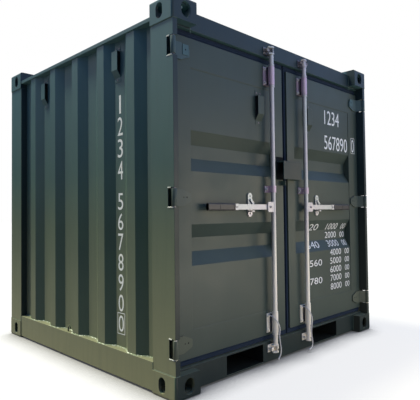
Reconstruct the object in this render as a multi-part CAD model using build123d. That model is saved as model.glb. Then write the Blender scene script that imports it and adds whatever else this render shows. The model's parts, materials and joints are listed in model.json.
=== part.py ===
from build123d import *
import math
import os

os.makedirs("parts", exist_ok=True)

# Overall size. X is the width, Y the length with the doors at its low end, Z is up from the ground.
WIDTH = 1950.0
LENGTH = 1920.0
HEIGHT = 1960.0

# Corner castings
CASTING_LENGTH = 178.0
CASTING_WIDTH = 162.0
CASTING_HEIGHT = 118.0
CASTING_WALL = 16.0
CASTING_PLATE = 28.0
CASTING_FLOOR = 10.0
CASTING_ROUND = 12.0
SLOT_LENGTH = 124.0
SLOT_WIDTH = 63.5
SLOT_FROM_SIDE = 89.5
SLOT_FROM_END = 102.5
OVAL_HEIGHT = 79.5
END_OVAL_WIDTH = 63.5
SIDE_OVAL_WIDTH = 51.0

# Corner posts
PLATE = 6.0
POST_SIDE_INSET = 5.0
POST_FRONT_INSET = 4.0
POST_BAND = 30.0
LAND_WIDTH = 60.0
REAR_POST_WIDTH = 100.0
REAR_POST_DEPTH = 60.0

# Door header, door sill and the rear pair
BEAM_SETBACK = 51.0
BEAM_PLATE = 4.0
HEADER_DROP = 33.0
HEADER_HEIGHT = 95.0
SILL_BOTTOM = 10.0
SILL_HEIGHT = 118.0
SEAL_LAP = 8.0
REAR_SETBACK = 8.0
REAR_BEAM_DEPTH = 62.0

# Side rails
RAIL_INSET = 5.0
TOP_RAIL_DROP = 67.0
TOP_RAIL_HEIGHT = 21.0
TOP_RAIL_WIDTH = 62.0
BOTTOM_RAIL_BOTTOM = 12.0
BOTTOM_RAIL_HEIGHT = 143.0
BOTTOM_RAIL_WIDTH = 52.0

# Corrugated sheets
SHEET = 2.0
WALL_INSET = 12.0
WAVE_DEPTH = 36.0
WAVE_PITCH = 297.0
WAVE_FLAT = 72.0
WAVE_SLOPE = 66.0
SIDE_RIDGES = 5
REAR_RIDGES = 5
ROOF_RIDGES = 5
ROOF_WAVE_DEPTH = 20.0

# Floor
DECK = 28.0
DECK_GAP = 1.0
MEMBER_BOTTOM = 34.0
MEMBER_FLANGE = 40.0
MEMBER_COUNT = 4
POCKET_CENTRE = 412.0
POCKET_WIDTH = 312.0
POCKET_PLATE = 4.0

# Door leaves
DOOR_SETBACK = 60.0
LEAF_DEPTH = 50.0
LEAF_WALL = 4.0
LEAF_TOP_GAP = 40.0
LEAF_FOOT_GAP = 36.0
LEAF_SIDE_GAP = 5.0
LEAF_BACK_GAP = 5.0
MEETING_GAP = 48.0
HINGE_STILE = 128.0
MEETING_STILE = 78.0
LEAF_TOP_RAIL = 152.0
LEAF_BOTTOM_RAIL = 140.0
PANEL_SHEET = 3.0
PANEL_SINK = 3.0
RECESS_DEPTH = 40.0
RECESS_FLAT = 71.0
RECESS_SLOPE = 70.0
RECESS_SPACING = 483.0

# Door seals
SEAL_THICKNESS = 12.0
SEAL_FROM_FACE = 12.0
SEAL_CLEARANCE = 5.0
SEAL_MEETING_GAP = 12.0

# Hinges
PIN_INSET = 14.0
PIN_RADIUS = 8.0
PIN_CLEARANCE = 0.3
KNUCKLE_RADIUS = 13.0
KNUCKLE_END_GAP = 5.0
HINGE_HEIGHT = 96.0
HINGE_CUT = 50.0
TOP_HINGE_DROP = 83.0
MIDDLE_HINGE_DROP = 6.5
BOTTOM_HINGE_RISE = 80.0
LUG_THICKNESS = 20.0
BLADE_THICKNESS = 8.0
BLADE_ARM = 10.0
BLADE_REACH = 159.0
BLADE_TIP_HEIGHT = 40.0
BLADE_TAPER = 58.0
BLADE_ROUND = 14.0
BLADE_BACK_CUT = 10.0

# Lock rods and their cams
ROD_OFFSET = 174.0
ROD_STANDOFF = 36.0
ROD_RADIUS = 14.0
ROD_CLEARANCE = 0.4
COLLAR_RADIUS = 17.5
COLLAR_HEIGHT = 10.0
COLLAR_GAP = 3.0
CAM_HEADER_RISE = 36.0
CAM_SILL_DROP = 40.0
CAM_THICKNESS = 9.0
CAM_REACH = 26.0
CAM_NOSE_RADIUS = 9.0
CAM_HUB_RADIUS = 18.0

# Keepers: a base plate, a tongue that the cam closes round and an ear on the rod's other side
TONGUE_WIDTH = 20.0
TONGUE_HALF_HEIGHT = 9.0
TONGUE_REACH = 30.0
TONGUE_GAP = 5.0
CAM_GAP = 6.0
EAR_THICKNESS = 8.0
EAR_REACH = 26.0
EAR_GAP = 5.0
KEEPER_PLATE = 4.0
KEEPER_HALF_HEIGHT = 22.0
KEEPER_MARGIN = 5.0

# Rod bearings and guides
BEARING_HALF_WIDTH = 40.0
BEARING_FLANGE = 6.0
BEARING_NECK = 22.0
BEARING_NOSE_RADIUS = 18.0
BEARING_HEIGHT = 112.0
BEARING_DROP = 76.0
BEARING_RISE = 72.0
BEARING_SLOT = 8.0
BEARING_SLOT_FROM_END = 14.0
GUIDE_HEIGHT = 40.0
GUIDE_RISE = 107.0

# Handles
HANDLE_DROP = 47.0
HUB_OFFSET = 40.0
HUB_WIDTH = 46.0
HUB_HEIGHT = 60.0
HUB_THICKNESS = 8.0
HUB_ROUND = 10.0
HUB_AHEAD = 2.0
BOLT_RADIUS = 7.0
BOLT_HEAD = 6.0
BOLT_CLEARANCE = 0.3
HANDLE_BAR_HEIGHT = 30.0
HANDLE_BAR_THICKNESS = 10.0
HANDLE_BAR_LENGTH = 303.0
HANDLE_GAP = 0.5
FERRULE_LENGTH = 26.0
FERRULE_EXTRA = 2.0
GRIP_LENGTH = 208.0
GRIP_HEIGHT = 38.0
GRIP_THICKNESS = 18.0
GRIP_ROUND = 7.0

# Handle catches
CATCH_OFFSET = 352.0
CATCH_PLATE = 8.0
CATCH_WIDTH = 36.0
CATCH_HALF_SPREAD = 50.0
CATCH_RISE = 13.0
CATCH_EYE_OUTER = 19.0
CATCH_EYE_RADIUS = 5.0
CATCH_SHELF_GAP = 5.0
CATCH_SHELF = 8.0
CATCH_SHELF_LENGTH = 20.0
LEVER_THICKNESS = 5.0
LEVER_AHEAD = 4.0
LEVER_WIDTH = 15.0
LEVER_LENGTH = 34.0
LEVER_LEAN = 42.0
LEVER_STUD_RADIUS = 6.0
LEVER_STUD_RISE = 42.0

# Lock box and its lug
LOCK_BOX_LEFT = -90.0
LOCK_BOX_RIGHT = 98.0
LOCK_BOX_RISE = 171.0
LOCK_BOX_HEIGHT = 112.0
LOCK_BOX_PLATE = 5.0
LOCK_BOX_DEPTH = 56.0
LOCK_BOX_CLEARANCE = 6.0
LUG_PLATE = 8.0
LUG_FROM_EDGE = 24.0
LUG_DROP = 8.0
LUG_HEIGHT = 28.0
LUG_DEPTH = 34.0

# Vents: one pressed cover with open sides, for the doors and the side walls
VENT_SHEET = 2.0
VENT_WIDTH = 56.0
VENT_DEPTH = 26.0
VENT_FRONT_HEIGHT = 106.0
VENT_SLOPE_HEIGHT = 38.0
VENT_HEAD_TAB = 38.0
VENT_FOOT_TAB = 25.0
DOOR_VENT_OFFSET = 259.0
DOOR_VENT_DROP = 20.0
WALL_VENT_DROP = 26.0
WALL_VENT_SHIFT = 18.0
WALL_VENT_PITCHES = (-1.5, 1.5)

# Tie-back hooks on the bottom side rails and tie ropes on the lower bearings
HOOK_Y = 110.0
HOOK_PLATE = 7.0
HOOK_INSET = 12.0
HOOK_BAR = 9.0
HOOK_HEIGHT = 40.0
HOOK_LENGTH = 30.0
HOOK_CORNER = 10.0
HOOK_LIP = 20.0
ROPE_DIAMETER = 8.0

# Places worked out from the sizes above
HALF_WIDTH = WIDTH / 2
FRONT = -LENGTH / 2
REAR = LENGTH / 2
BAY_FRONT = FRONT + CASTING_LENGTH
BAY_REAR = REAR - CASTING_LENGTH
BETWEEN_CASTINGS = HALF_WIDTH - CASTING_WIDTH
POST_BOTTOM = CASTING_HEIGHT
POST_TOP = HEIGHT - CASTING_HEIGHT
POST_OUTER = -HALF_WIDTH + POST_SIDE_INSET
POST_FRONT = FRONT + POST_FRONT_INSET
POST_INNER = POST_OUTER + POST_BAND
REAR_POST_INNER = POST_OUTER + REAR_POST_WIDTH
DOOR_FACE = FRONT + DOOR_SETBACK
LEAF_BACK = DOOR_FACE + LEAF_DEPTH
LAND = LEAF_BACK + LEAF_BACK_GAP
LAND_EDGE = POST_INNER + LAND_WIDTH
BEAM_FACE = FRONT + BEAM_SETBACK
HEADER_TOP = HEIGHT - HEADER_DROP
HEADER_BOTTOM = HEADER_TOP - HEADER_HEIGHT
SILL_TOP = SILL_BOTTOM + SILL_HEIGHT
REAR_FACE = REAR - REAR_SETBACK
TOP_RAIL_TOP = HEIGHT - TOP_RAIL_DROP
BOTTOM_RAIL_TOP = BOTTOM_RAIL_BOTTOM + BOTTOM_RAIL_HEIGHT
RAIL_OUTER = -HALF_WIDTH + RAIL_INSET
WALL_OUTER = -HALF_WIDTH + WALL_INSET
WALL_TOP = TOP_RAIL_TOP - TOP_RAIL_HEIGHT
ROOF_FRONT = LAND + PLATE
ROOF_REAR = REAR_FACE - REAR_BEAM_DEPTH
DECK_TOP = SILL_TOP + DECK
LEAF_TOP = HEADER_BOTTOM - LEAF_TOP_GAP
LEAF_BOTTOM = SILL_TOP + LEAF_FOOT_GAP
LEAF_OUTER = POST_INNER + LEAF_SIDE_GAP
LEAF_INNER = -MEETING_GAP / 2
PANEL_TOP = LEAF_TOP - LEAF_TOP_RAIL
PANEL_BOTTOM = LEAF_BOTTOM + LEAF_BOTTOM_RAIL
PANEL_LEFT = LEAF_OUTER + HINGE_STILE
PANEL_RIGHT = LEAF_INNER - MEETING_STILE
PANEL_FACE = DOOR_FACE + PANEL_SINK
PANEL_MIDDLE = (PANEL_TOP + PANEL_BOTTOM) / 2
HANDLE_LEVEL = PANEL_MIDDLE - HANDLE_DROP
PIN_X = -HALF_WIDTH + PIN_INSET
PIN_Y = FRONT + PIN_INSET
TOP_HINGE = LEAF_TOP - TOP_HINGE_DROP
BOTTOM_HINGE = LEAF_BOTTOM + BOTTOM_HINGE_RISE
MIDDLE_HINGE = (TOP_HINGE + BOTTOM_HINGE) / 2 - MIDDLE_HINGE_DROP
HINGE_CENTRES = (BOTTOM_HINGE, MIDDLE_HINGE, TOP_HINGE)
ROD_X = -ROD_OFFSET
ROD_Y = DOOR_FACE - ROD_STANDOFF
CAM_TOP = HEADER_BOTTOM + CAM_HEADER_RISE
CAM_BOTTOM = SILL_TOP - CAM_SILL_DROP
BEARING_TOP = LEAF_TOP - BEARING_DROP
BEARING_BOTTOM = LEAF_BOTTOM + BEARING_RISE
GUIDE_LEVEL = HANDLE_LEVEL + GUIDE_RISE
PIVOT_X = ROD_X - HUB_OFFSET
HUB_BACK = ROD_Y - HUB_AHEAD
BAR_Y = HUB_BACK + HANDLE_GAP
LOCK_BOX_BOTTOM = HANDLE_LEVEL + LOCK_BOX_RISE


def place(axis, station, a, b):
    """A point at a station along an axis; a and b are the other two coordinates in X, Y, Z order."""
    spots = {"X": (station, a, b), "Y": (a, station, b), "Z": (a, b, station)}
    return spots[axis]


def prism(points, axis, start, end):
    """A straight bar with the given outline, from start to end along an axis."""
    outline = Wire.make_polygon([place(axis, start, a, b) for a, b in points], close=True)
    travel = Vector(*place(axis, end, 0, 0)) - Vector(*place(axis, start, 0, 0))
    return Solid.extrude(Face(outline), travel)


def block(x, y, z):
    """A plain block between two limits on each axis."""
    corners = [(x[0], y[0]), (x[1], y[0]), (x[1], y[1]), (x[0], y[1])]
    return prism(corners, "Z", z[0], z[1])


def rod(centre, radius, axis, start, end):
    """A round bar along an axis; centre gives the other two coordinates in X, Y, Z order."""
    ways = {"X": (1, 0, 0), "Y": (0, 1, 0), "Z": (0, 0, 1)}
    base = Plane(origin=place(axis, start, *centre), z_dir=ways[axis])
    return Solid.make_cylinder(radius, end - start, base)


def folded(path, thickness):
    """The outline of a plate folded along a path, with its thickness on the left of the path."""
    normals = []
    for (ax, ay), (bx, by) in zip(path, path[1:]):
        run = math.hypot(bx - ax, by - ay)
        normals.append(((ay - by) / run, (bx - ax) / run))
    inner = []
    for i, (px, py) in enumerate(path):
        before = normals[max(i - 1, 0)]
        after = normals[min(i, len(normals) - 1)]
        share = thickness / (1 + before[0] * after[0] + before[1] * after[1])
        inner.append((px + share * (before[0] + after[0]), py + share * (before[1] + after[1])))
    return list(path) + inner[::-1]


def strip(start, end, width):
    """The outline of a flat bar of a given width about the line from start to end."""
    run = math.hypot(end[0] - start[0], end[1] - start[1])
    aside_x = (start[1] - end[1]) / run * width / 2
    aside_y = (end[0] - start[0]) / run * width / 2
    return [
        (start[0] + aside_x, start[1] + aside_y),
        (start[0] - aside_x, start[1] - aside_y),
        (end[0] - aside_x, end[1] - aside_y),
        (end[0] + aside_x, end[1] + aside_y),
    ]


def mirrored(shape):
    """The same piece on the right-hand side."""
    return mirror(shape, about=Plane.YZ)


def save(name, shapes):
    """Write one node; a list holds like pieces that don't touch."""
    if isinstance(shapes, list):
        shapes = Compound(children=[solid for shape in shapes for solid in shape.solids()])
    export_step(shapes, f"parts/{name}.step")


def waves(count, pitch, flat, slope, depth, span):
    """Stations and depths of a corrugated line: ridges at depth 0, with recesses between and beyond."""
    points = [(-span / 2, depth)]
    for i in range(count):
        middle = (i - (count - 1) / 2) * pitch
        points.append((middle - flat / 2 - slope, depth))
        points.append((middle - flat / 2, 0.0))
        points.append((middle + flat / 2, 0.0))
        points.append((middle + flat / 2 + slope, depth))
    points.append((span / 2, depth))
    return points


# Corner castings


def oval(plane, across, up, width, height, reach):
    """An upright or lengthwise round-ended cutter on a plane, centred on the plane's own coordinates."""
    turn = 90 if height > width else 0
    shape = plane * Pos(across, up) * SlotOverall(max(width, height), min(width, height), rotation=turn)
    return extrude(shape, amount=reach, both=True)


def casting():
    """The front left bottom casting, with one slot below and an oval in its end and its side."""
    left, front = -HALF_WIDTH, FRONT
    body = block((left, left + CASTING_WIDTH), (front, front + CASTING_LENGTH), (0, CASTING_HEIGHT))
    outer = [
        edge
        for edge in body.edges()
        if (abs(edge.center().X - left) < 1 and abs(edge.center().Y - front) < 1)
        or (edge.center().Z < 1 and (edge.center().X < left + 1 or edge.center().Y < front + 1))
    ]
    body = fillet(outer, CASTING_ROUND)
    hollow = block(
        (left + CASTING_WALL, left + CASTING_WIDTH - CASTING_WALL),
        (front + CASTING_WALL, front + CASTING_LENGTH - CASTING_FLOOR),
        (CASTING_PLATE, CASTING_HEIGHT - CASTING_FLOOR),
    )
    slot_x = left + SLOT_FROM_SIDE
    slot_y = front + SLOT_FROM_END
    middle = CASTING_HEIGHT / 2
    slot = oval(Plane.XY, slot_x, slot_y, SLOT_WIDTH, SLOT_LENGTH, CASTING_PLATE + 1)
    end_oval = oval(Plane.XZ.offset(-front), slot_x, middle, END_OVAL_WIDTH, OVAL_HEIGHT, CASTING_WALL + 1)
    side_oval = oval(Plane.YZ.offset(left), slot_y, middle, SIDE_OVAL_WIDTH, OVAL_HEIGHT, CASTING_WALL + 1)
    return body - hollow - slot - end_oval - side_oval


def castings():
    low_left = casting()
    high_left = mirror(low_left, about=Plane.XY.offset(HEIGHT / 2))
    for level, one in (("bottom", low_left), ("top", high_left)):
        pair = [one, mirrored(one)]
        save(f"front_{level}_castings", pair)
        save(f"rear_{level}_castings", [mirror(each, about=Plane.XZ) for each in pair])


# Posts


def door_post():
    """A folded post with a narrow front band, a rebate for the leaf and cut-outs at the hinges."""
    back = BAY_FRONT
    outline = [
        (POST_OUTER, back),
        (POST_OUTER, POST_FRONT),
        (POST_INNER, POST_FRONT),
        (POST_INNER, LAND),
        (LAND_EDGE, LAND),
        (LAND_EDGE, back),
    ]
    hollow = [
        (POST_OUTER + PLATE, back - PLATE),
        (POST_OUTER + PLATE, POST_FRONT + PLATE),
        (POST_INNER - PLATE, POST_FRONT + PLATE),
        (POST_INNER - PLATE, LAND + PLATE),
        (LAND_EDGE - PLATE, LAND + PLATE),
        (LAND_EDGE - PLATE, back - PLATE),
    ]
    post = prism(outline, "Z", POST_BOTTOM, POST_TOP) - prism(hollow, "Z", POST_BOTTOM, POST_TOP)
    for level in HINGE_CENTRES:
        heights = (level - HINGE_HEIGHT / 2, level + HINGE_HEIGHT / 2)
        post -= block((POST_OUTER - 1, POST_INNER + 1), (POST_FRONT - 1, FRONT + HINGE_CUT), heights)
        post -= block((POST_INNER - PLATE - 1, POST_INNER + 1), (POST_FRONT, DOOR_FACE), heights)
    return post


def rear_post():
    """A closed L-shaped post behind the rear wall's end."""
    rear = REAR - POST_FRONT_INSET
    front = BAY_REAR
    inner = REAR_POST_INNER

    def outline(by):
        return [
            (POST_OUTER + by, front + by),
            (POST_OUTER + by, rear - by),
            (inner - by, rear - by),
            (inner - by, rear - REAR_POST_DEPTH + by),
            (POST_OUTER + BOTTOM_RAIL_WIDTH - by, rear - REAR_POST_DEPTH + by),
            (POST_OUTER + BOTTOM_RAIL_WIDTH - by, front + by),
        ]

    return prism(outline(0), "Z", POST_BOTTOM, POST_TOP) - prism(outline(PLATE), "Z", POST_BOTTOM, POST_TOP)


def posts():
    save("door_post_left", door_post())
    save("door_post_right", mirrored(door_post()))
    save("rear_post_left", rear_post())
    save("rear_post_right", mirrored(rear_post()))


# Beams across the ends


def pocket_cut(y):
    """Cutters for the two fork pockets over a stretch of Y."""
    low = SILL_BOTTOM + BEAM_PLATE + POCKET_PLATE
    high = SILL_TOP - BEAM_PLATE - POCKET_PLATE
    half = POCKET_WIDTH / 2
    return [block((c - half, c + half), y, (low, high)) for c in (-POCKET_CENTRE, POCKET_CENTRE)]


def door_header():
    """A folded channel over the doors. Its foot runs on under the castings to the posts."""
    lip = LEAF_TOP - SEAL_LAP
    back = LAND + PLATE
    section = [(back, HEADER_TOP), (BEAM_FACE, HEADER_TOP), (BEAM_FACE, HEADER_BOTTOM), (LAND, HEADER_BOTTOM)]
    foot = [(BEAM_FACE, POST_TOP), (BEAM_FACE, HEADER_BOTTOM), (LAND, HEADER_BOTTOM)]
    header = prism(folded(section, BEAM_PLATE), "X", -BETWEEN_CASTINGS, BETWEEN_CASTINGS)
    header += prism(folded(foot, BEAM_PLATE), "X", POST_INNER, -POST_INNER)
    lip_heights = (lip, HEADER_BOTTOM + BEAM_PLATE)
    return header + block((LAND_EDGE, -LAND_EDGE), (LAND, LAND + BEAM_PLATE), lip_heights)


def door_sill():
    """A folded channel under the doors, with a lip behind the leaves and two pocket mouths."""
    lip = LEAF_BOTTOM + SEAL_LAP
    section = [(LAND, SILL_TOP), (BEAM_FACE, SILL_TOP), (BEAM_FACE, SILL_BOTTOM), (LAND, SILL_BOTTOM)]
    head = [(LAND, SILL_TOP), (BEAM_FACE, SILL_TOP), (BEAM_FACE, POST_BOTTOM)]
    sill = prism(folded(section, BEAM_PLATE), "X", -BETWEEN_CASTINGS, BETWEEN_CASTINGS)
    sill += prism(folded(head, BEAM_PLATE), "X", POST_INNER, -POST_INNER)
    sill += block((LAND_EDGE, -LAND_EDGE), (LAND, LAND + BEAM_PLATE), (SILL_TOP - BEAM_PLATE, lip))
    for cutter in pocket_cut((BEAM_FACE - 1, BEAM_FACE + BEAM_PLATE + 1)):
        sill -= cutter
    return sill


def rear_beam(low, high):
    """A folded channel across the rear, open to the inside."""
    path = [(ROOF_REAR, low), (REAR_FACE, low), (REAR_FACE, high), (ROOF_REAR, high)]
    return prism(folded(path, BEAM_PLATE), "X", -BETWEEN_CASTINGS, BETWEEN_CASTINGS)


def rear_sill():
    """The rear channel with two pocket mouths and a head that runs on over the castings."""
    sill = rear_beam(SILL_BOTTOM, SILL_TOP)
    head = (SILL_TOP - BEAM_PLATE, SILL_TOP)
    sill += block((REAR_POST_INNER, -REAR_POST_INNER), (ROOF_REAR, REAR_FACE), head)
    for cutter in pocket_cut((REAR_FACE - BEAM_PLATE - 1, REAR_FACE + 1)):
        sill -= cutter
    return sill


def beams():
    save("door_header", door_header())
    save("door_sill", door_sill())
    save("rear_header", rear_beam(WALL_TOP, HEADER_TOP))
    save("rear_sill", rear_sill())


# Side rails, walls and roof


def casting_room():
    """The space that the four top castings take, for what has to stop short of them."""
    room = [
        block(x, y, (POST_TOP, HEIGHT))
        for x in ((-HALF_WIDTH, -BETWEEN_CASTINGS), (BETWEEN_CASTINGS, HALF_WIDTH))
        for y in ((FRONT, BAY_FRONT), (BAY_REAR, REAR))
    ]
    return Compound(children=room)


def side_rail(low, high, width):
    """A folded channel between the castings, open to the inside."""
    inner = RAIL_OUTER + width
    path = [(inner, high), (RAIL_OUTER, high), (RAIL_OUTER, low), (inner, low)]
    return prism(folded(path, BEAM_PLATE), "Y", BAY_FRONT, BAY_REAR)


def side_rails():
    top = side_rail(WALL_TOP, TOP_RAIL_TOP, TOP_RAIL_WIDTH)
    bottom = side_rail(BOTTOM_RAIL_BOTTOM, BOTTOM_RAIL_TOP, BOTTOM_RAIL_WIDTH)
    save("top_side_rail_left", top)
    save("top_side_rail_right", mirrored(top))
    save("bottom_side_rail_left", bottom)
    save("bottom_side_rail_right", mirrored(bottom))


def side_wall():
    """A corrugated sheet from post to post, on the bottom rail and under the top rail."""
    line = waves(SIDE_RIDGES, WAVE_PITCH, WAVE_FLAT, WAVE_SLOPE, WAVE_DEPTH, BAY_REAR - BAY_FRONT)
    path = [(WALL_OUTER + depth, station) for station, depth in line]
    return prism(folded(path[::-1], SHEET), "Z", BOTTOM_RAIL_TOP, WALL_TOP)


def rear_wall():
    """A corrugated sheet between the rear posts, from the rear sill to the rear header."""
    line = waves(REAR_RIDGES, WAVE_PITCH, WAVE_FLAT, WAVE_SLOPE, WAVE_DEPTH, -2 * REAR_POST_INNER)
    path = [(station, REAR - WALL_INSET - depth) for station, depth in line]
    return prism(folded(path[::-1], SHEET), "Z", SILL_TOP, WALL_TOP) - casting_room()


def roof_panel():
    """A roof sheet with shallow cross waves, level with the top side rails."""
    middle = (ROOF_REAR + ROOF_FRONT) / 2
    line = waves(ROOF_RIDGES, WAVE_PITCH, WAVE_FLAT, WAVE_SLOPE, ROOF_WAVE_DEPTH, ROOF_REAR - ROOF_FRONT)
    path = [(middle + station, TOP_RAIL_TOP - depth) for station, depth in line]
    reach = -RAIL_OUTER - TOP_RAIL_WIDTH
    return prism(folded(path[::-1], SHEET), "X", -reach, reach) - casting_room()


def shell():
    save("side_wall_left", side_wall())
    save("side_wall_right", mirrored(side_wall()))
    save("rear_wall", rear_wall())
    save("roof_panel", roof_panel())


# Floor


def fork_pocket():
    """A rectangular duct from the door sill to the rear sill."""
    start = BEAM_FACE + BEAM_PLATE
    end = REAR_FACE - BEAM_PLATE
    half = POCKET_WIDTH / 2 + POCKET_PLATE
    x = (-POCKET_CENTRE - half, -POCKET_CENTRE + half)
    duct = block(x, (start, end), (SILL_BOTTOM + BEAM_PLATE, SILL_TOP - BEAM_PLATE))
    return duct - pocket_cut((start - 1, end + 1))[0]


def cross_members():
    """Channels under the deck, in three lengths between the side rails and the fork pockets."""
    rail = -RAIL_OUTER - BOTTOM_RAIL_WIDTH
    duct = POCKET_WIDTH / 2 + POCKET_PLATE
    bays = (
        (-rail, -POCKET_CENTRE - duct),
        (-POCKET_CENTRE + duct, POCKET_CENTRE - duct),
        (POCKET_CENTRE + duct, rail),
    )
    step = (BAY_REAR - BAY_FRONT) / MEMBER_COUNT
    members = []
    for i in range(MEMBER_COUNT):
        web = BAY_FRONT + (i + 0.5) * step
        flange = web + MEMBER_FLANGE
        path = [(flange, SILL_TOP), (web, SILL_TOP), (web, MEMBER_BOTTOM), (flange, MEMBER_BOTTOM)]
        members += [prism(folded(path, BEAM_PLATE), "X", start, end) for start, end in bays]
    return members


def floor_deck():
    """A board deck between the walls, cut round the four posts."""
    rail = -RAIL_OUTER - BOTTOM_RAIL_WIDTH
    front = LAND + BEAM_PLATE
    rear = REAR - WALL_INSET - WAVE_DEPTH - SHEET - DECK_GAP
    deck = block((-rail, rail), (front, rear), (SILL_TOP, DECK_TOP))
    for edge, y in ((LAND_EDGE, (FRONT, BAY_FRONT)), (REAR_POST_INNER, (BAY_REAR, REAR))):
        for x in ((-HALF_WIDTH, edge), (-edge, HALF_WIDTH)):
            deck -= block(x, y, (0, HEIGHT))
    return deck


def floor():
    pocket = fork_pocket()
    save("fork_pocket_left", pocket)
    save("fork_pocket_right", mirrored(pocket))
    save("floor_cross_members", cross_members())
    save("floor_deck", floor_deck())


# Vents, keepers, hooks and hinge pins on the fixed body


def vent_cover():
    """A bent strip over a base plate, facing -Y, with its head at z = 0 and its back on the plane y = 0.

    It has a flat front, a level top, a foot that slopes back, open sides and a screw tab at each end.
    """
    head = -VENT_HEAD_TAB
    front_foot = head - VENT_FRONT_HEIGHT
    slope_foot = front_foot - VENT_SLOPE_HEIGHT
    inner = VENT_SHEET - VENT_DEPTH
    half = VENT_WIDTH / 2
    tab_foot = slope_foot - VENT_FOOT_TAB
    path = [(0, tab_foot), (0, slope_foot), (inner, front_foot), (inner, head), (0, head), (0, 0)]
    cover = prism(folded(path, VENT_SHEET), "X", -half, half)
    return cover + block((-half, half), (-VENT_SHEET, 0), (slope_foot, head))


def wall_vents():
    """Covers in the wall's recesses, close under the top rail."""
    face = WALL_OUTER + WAVE_DEPTH
    top = WALL_TOP - WALL_VENT_DROP
    vents = [
        Location((face, pitches * WAVE_PITCH + WALL_VENT_SHIFT, top), (0, 0, -90)) * vent_cover()
        for pitches in WALL_VENT_PITCHES
    ]
    save("wall_vents", vents + [mirrored(vent) for vent in vents])


def keeper(level):
    """A bracket with a tongue that the cam closes round and an ear on the rod's other side."""
    tongue_near = ROD_X - ROD_RADIUS - TONGUE_GAP
    tongue_far = tongue_near - TONGUE_WIDTH
    ear_near = ROD_X + CAM_HUB_RADIUS + EAR_GAP
    ear_far = ear_near + EAR_THICKNESS
    front = BEAM_FACE - KEEPER_PLATE
    heights = (level - TONGUE_HALF_HEIGHT, level + TONGUE_HALF_HEIGHT)
    bracket = block(
        (tongue_far - KEEPER_MARGIN, ear_far + KEEPER_MARGIN),
        (front, BEAM_FACE),
        (level - KEEPER_HALF_HEIGHT, level + KEEPER_HALF_HEIGHT),
    )
    bracket += block((tongue_far, tongue_near), (BEAM_FACE - TONGUE_REACH, front), heights)
    bracket += block((ear_near, ear_far), (BEAM_FACE - EAR_REACH, front), heights)
    return bracket


def tie_back_hook():
    """A hook cut from plate that stands on the ledge of the bottom side rail."""
    x = RAIL_OUTER + HOOK_INSET
    back, tip = HOOK_Y, HOOK_Y - HOOK_LENGTH
    foot, top = BOTTOM_RAIL_TOP, BOTTOM_RAIL_TOP + HOOK_HEIGHT
    outline = [
        (back, foot),
        (back, top - HOOK_CORNER),
        (back - HOOK_CORNER, top),
        (tip + HOOK_CORNER, top),
        (tip, top - HOOK_CORNER),
        (tip, top - HOOK_LIP),
        (tip + HOOK_BAR, top - HOOK_LIP),
        (tip + HOOK_BAR, top - HOOK_BAR),
        (back - HOOK_BAR, top - HOOK_BAR),
        (back - HOOK_BAR, foot),
    ]
    return prism(outline, "X", x, x + HOOK_PLATE)


def hinge_pins():
    pins, lugs = [], []
    half = HINGE_HEIGHT / 2
    across = (POST_OUTER + PLATE, POST_INNER - PLATE)
    for level in HINGE_CENTRES:
        pins.append(rod((PIN_X, PIN_Y), PIN_RADIUS, "Z", level - half, level + half))
        for low in (level - half - LUG_THICKNESS, level + half):
            lugs.append(block(across, (POST_FRONT + PLATE, FRONT + HINGE_CUT), (low, low + LUG_THICKNESS)))
    save("hinge_pins", pins + [mirrored(pin) for pin in pins])
    save("hinge_lugs", lugs + [mirrored(lug) for lug in lugs])


def fixed_fittings():
    wall_vents()
    keepers = [keeper(level) for level in (CAM_BOTTOM, CAM_TOP)]
    save("cam_keepers", keepers + [mirrored(one) for one in keepers])
    hook = tie_back_hook()
    save("tie_back_hooks", [hook, mirrored(hook)])
    hinge_pins()


# Door leaves


def leaf_frame():
    """Box-section stiles, capped at the top and open to drain at the foot, with channel rails between."""
    frame = []
    for near, far in ((LEAF_OUTER, PANEL_LEFT), (PANEL_RIGHT, LEAF_INNER)):
        stile = block((near, far), (DOOR_FACE, LEAF_BACK), (LEAF_BOTTOM, LEAF_TOP))
        frame.append(
            stile
            - block(
                (near + LEAF_WALL, far - LEAF_WALL),
                (DOOR_FACE + LEAF_WALL, LEAF_BACK - LEAF_WALL),
                (LEAF_BOTTOM - 1, LEAF_TOP - LEAF_WALL),
            )
        )
    for low, high in ((LEAF_BOTTOM, PANEL_BOTTOM), (PANEL_TOP, LEAF_TOP)):
        path = [(LEAF_BACK, high), (DOOR_FACE, high), (DOOR_FACE, low), (LEAF_BACK, low)]
        frame.append(prism(folded(path, LEAF_WALL), "X", PANEL_LEFT, PANEL_RIGHT))
    return frame[0].fuse(*frame[1:])


def leaf_panel():
    """A pressed sheet inside the leaf's frame, with two level recesses."""
    path = [(PANEL_FACE, PANEL_BOTTOM)]
    flat = RECESS_FLAT / 2
    for centre in (PANEL_MIDDLE - RECESS_SPACING / 2, PANEL_MIDDLE + RECESS_SPACING / 2):
        path.append((PANEL_FACE, centre - flat - RECESS_SLOPE))
        path.append((PANEL_FACE + RECESS_DEPTH, centre - flat))
        path.append((PANEL_FACE + RECESS_DEPTH, centre + flat))
        path.append((PANEL_FACE, centre + flat + RECESS_SLOPE))
    path.append((PANEL_FACE, PANEL_TOP))
    return prism(folded(path[::-1], PANEL_SHEET), "X", PANEL_LEFT, PANEL_RIGHT)


def leaf_seal():
    """A rubber seal round the top, the meeting edge and the foot of a leaf."""
    near = DOOR_FACE + SEAL_FROM_FACE
    top = HEADER_BOTTOM - SEAL_CLEARANCE
    foot = SILL_TOP + SEAL_CLEARANCE
    seal = block((LEAF_OUTER, -SEAL_MEETING_GAP / 2), (near, near + SEAL_THICKNESS), (foot, top))
    return seal - block((LEAF_OUTER - 1, LEAF_INNER), (near - 1, LEAF_BACK), (LEAF_BOTTOM, LEAF_TOP))


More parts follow.
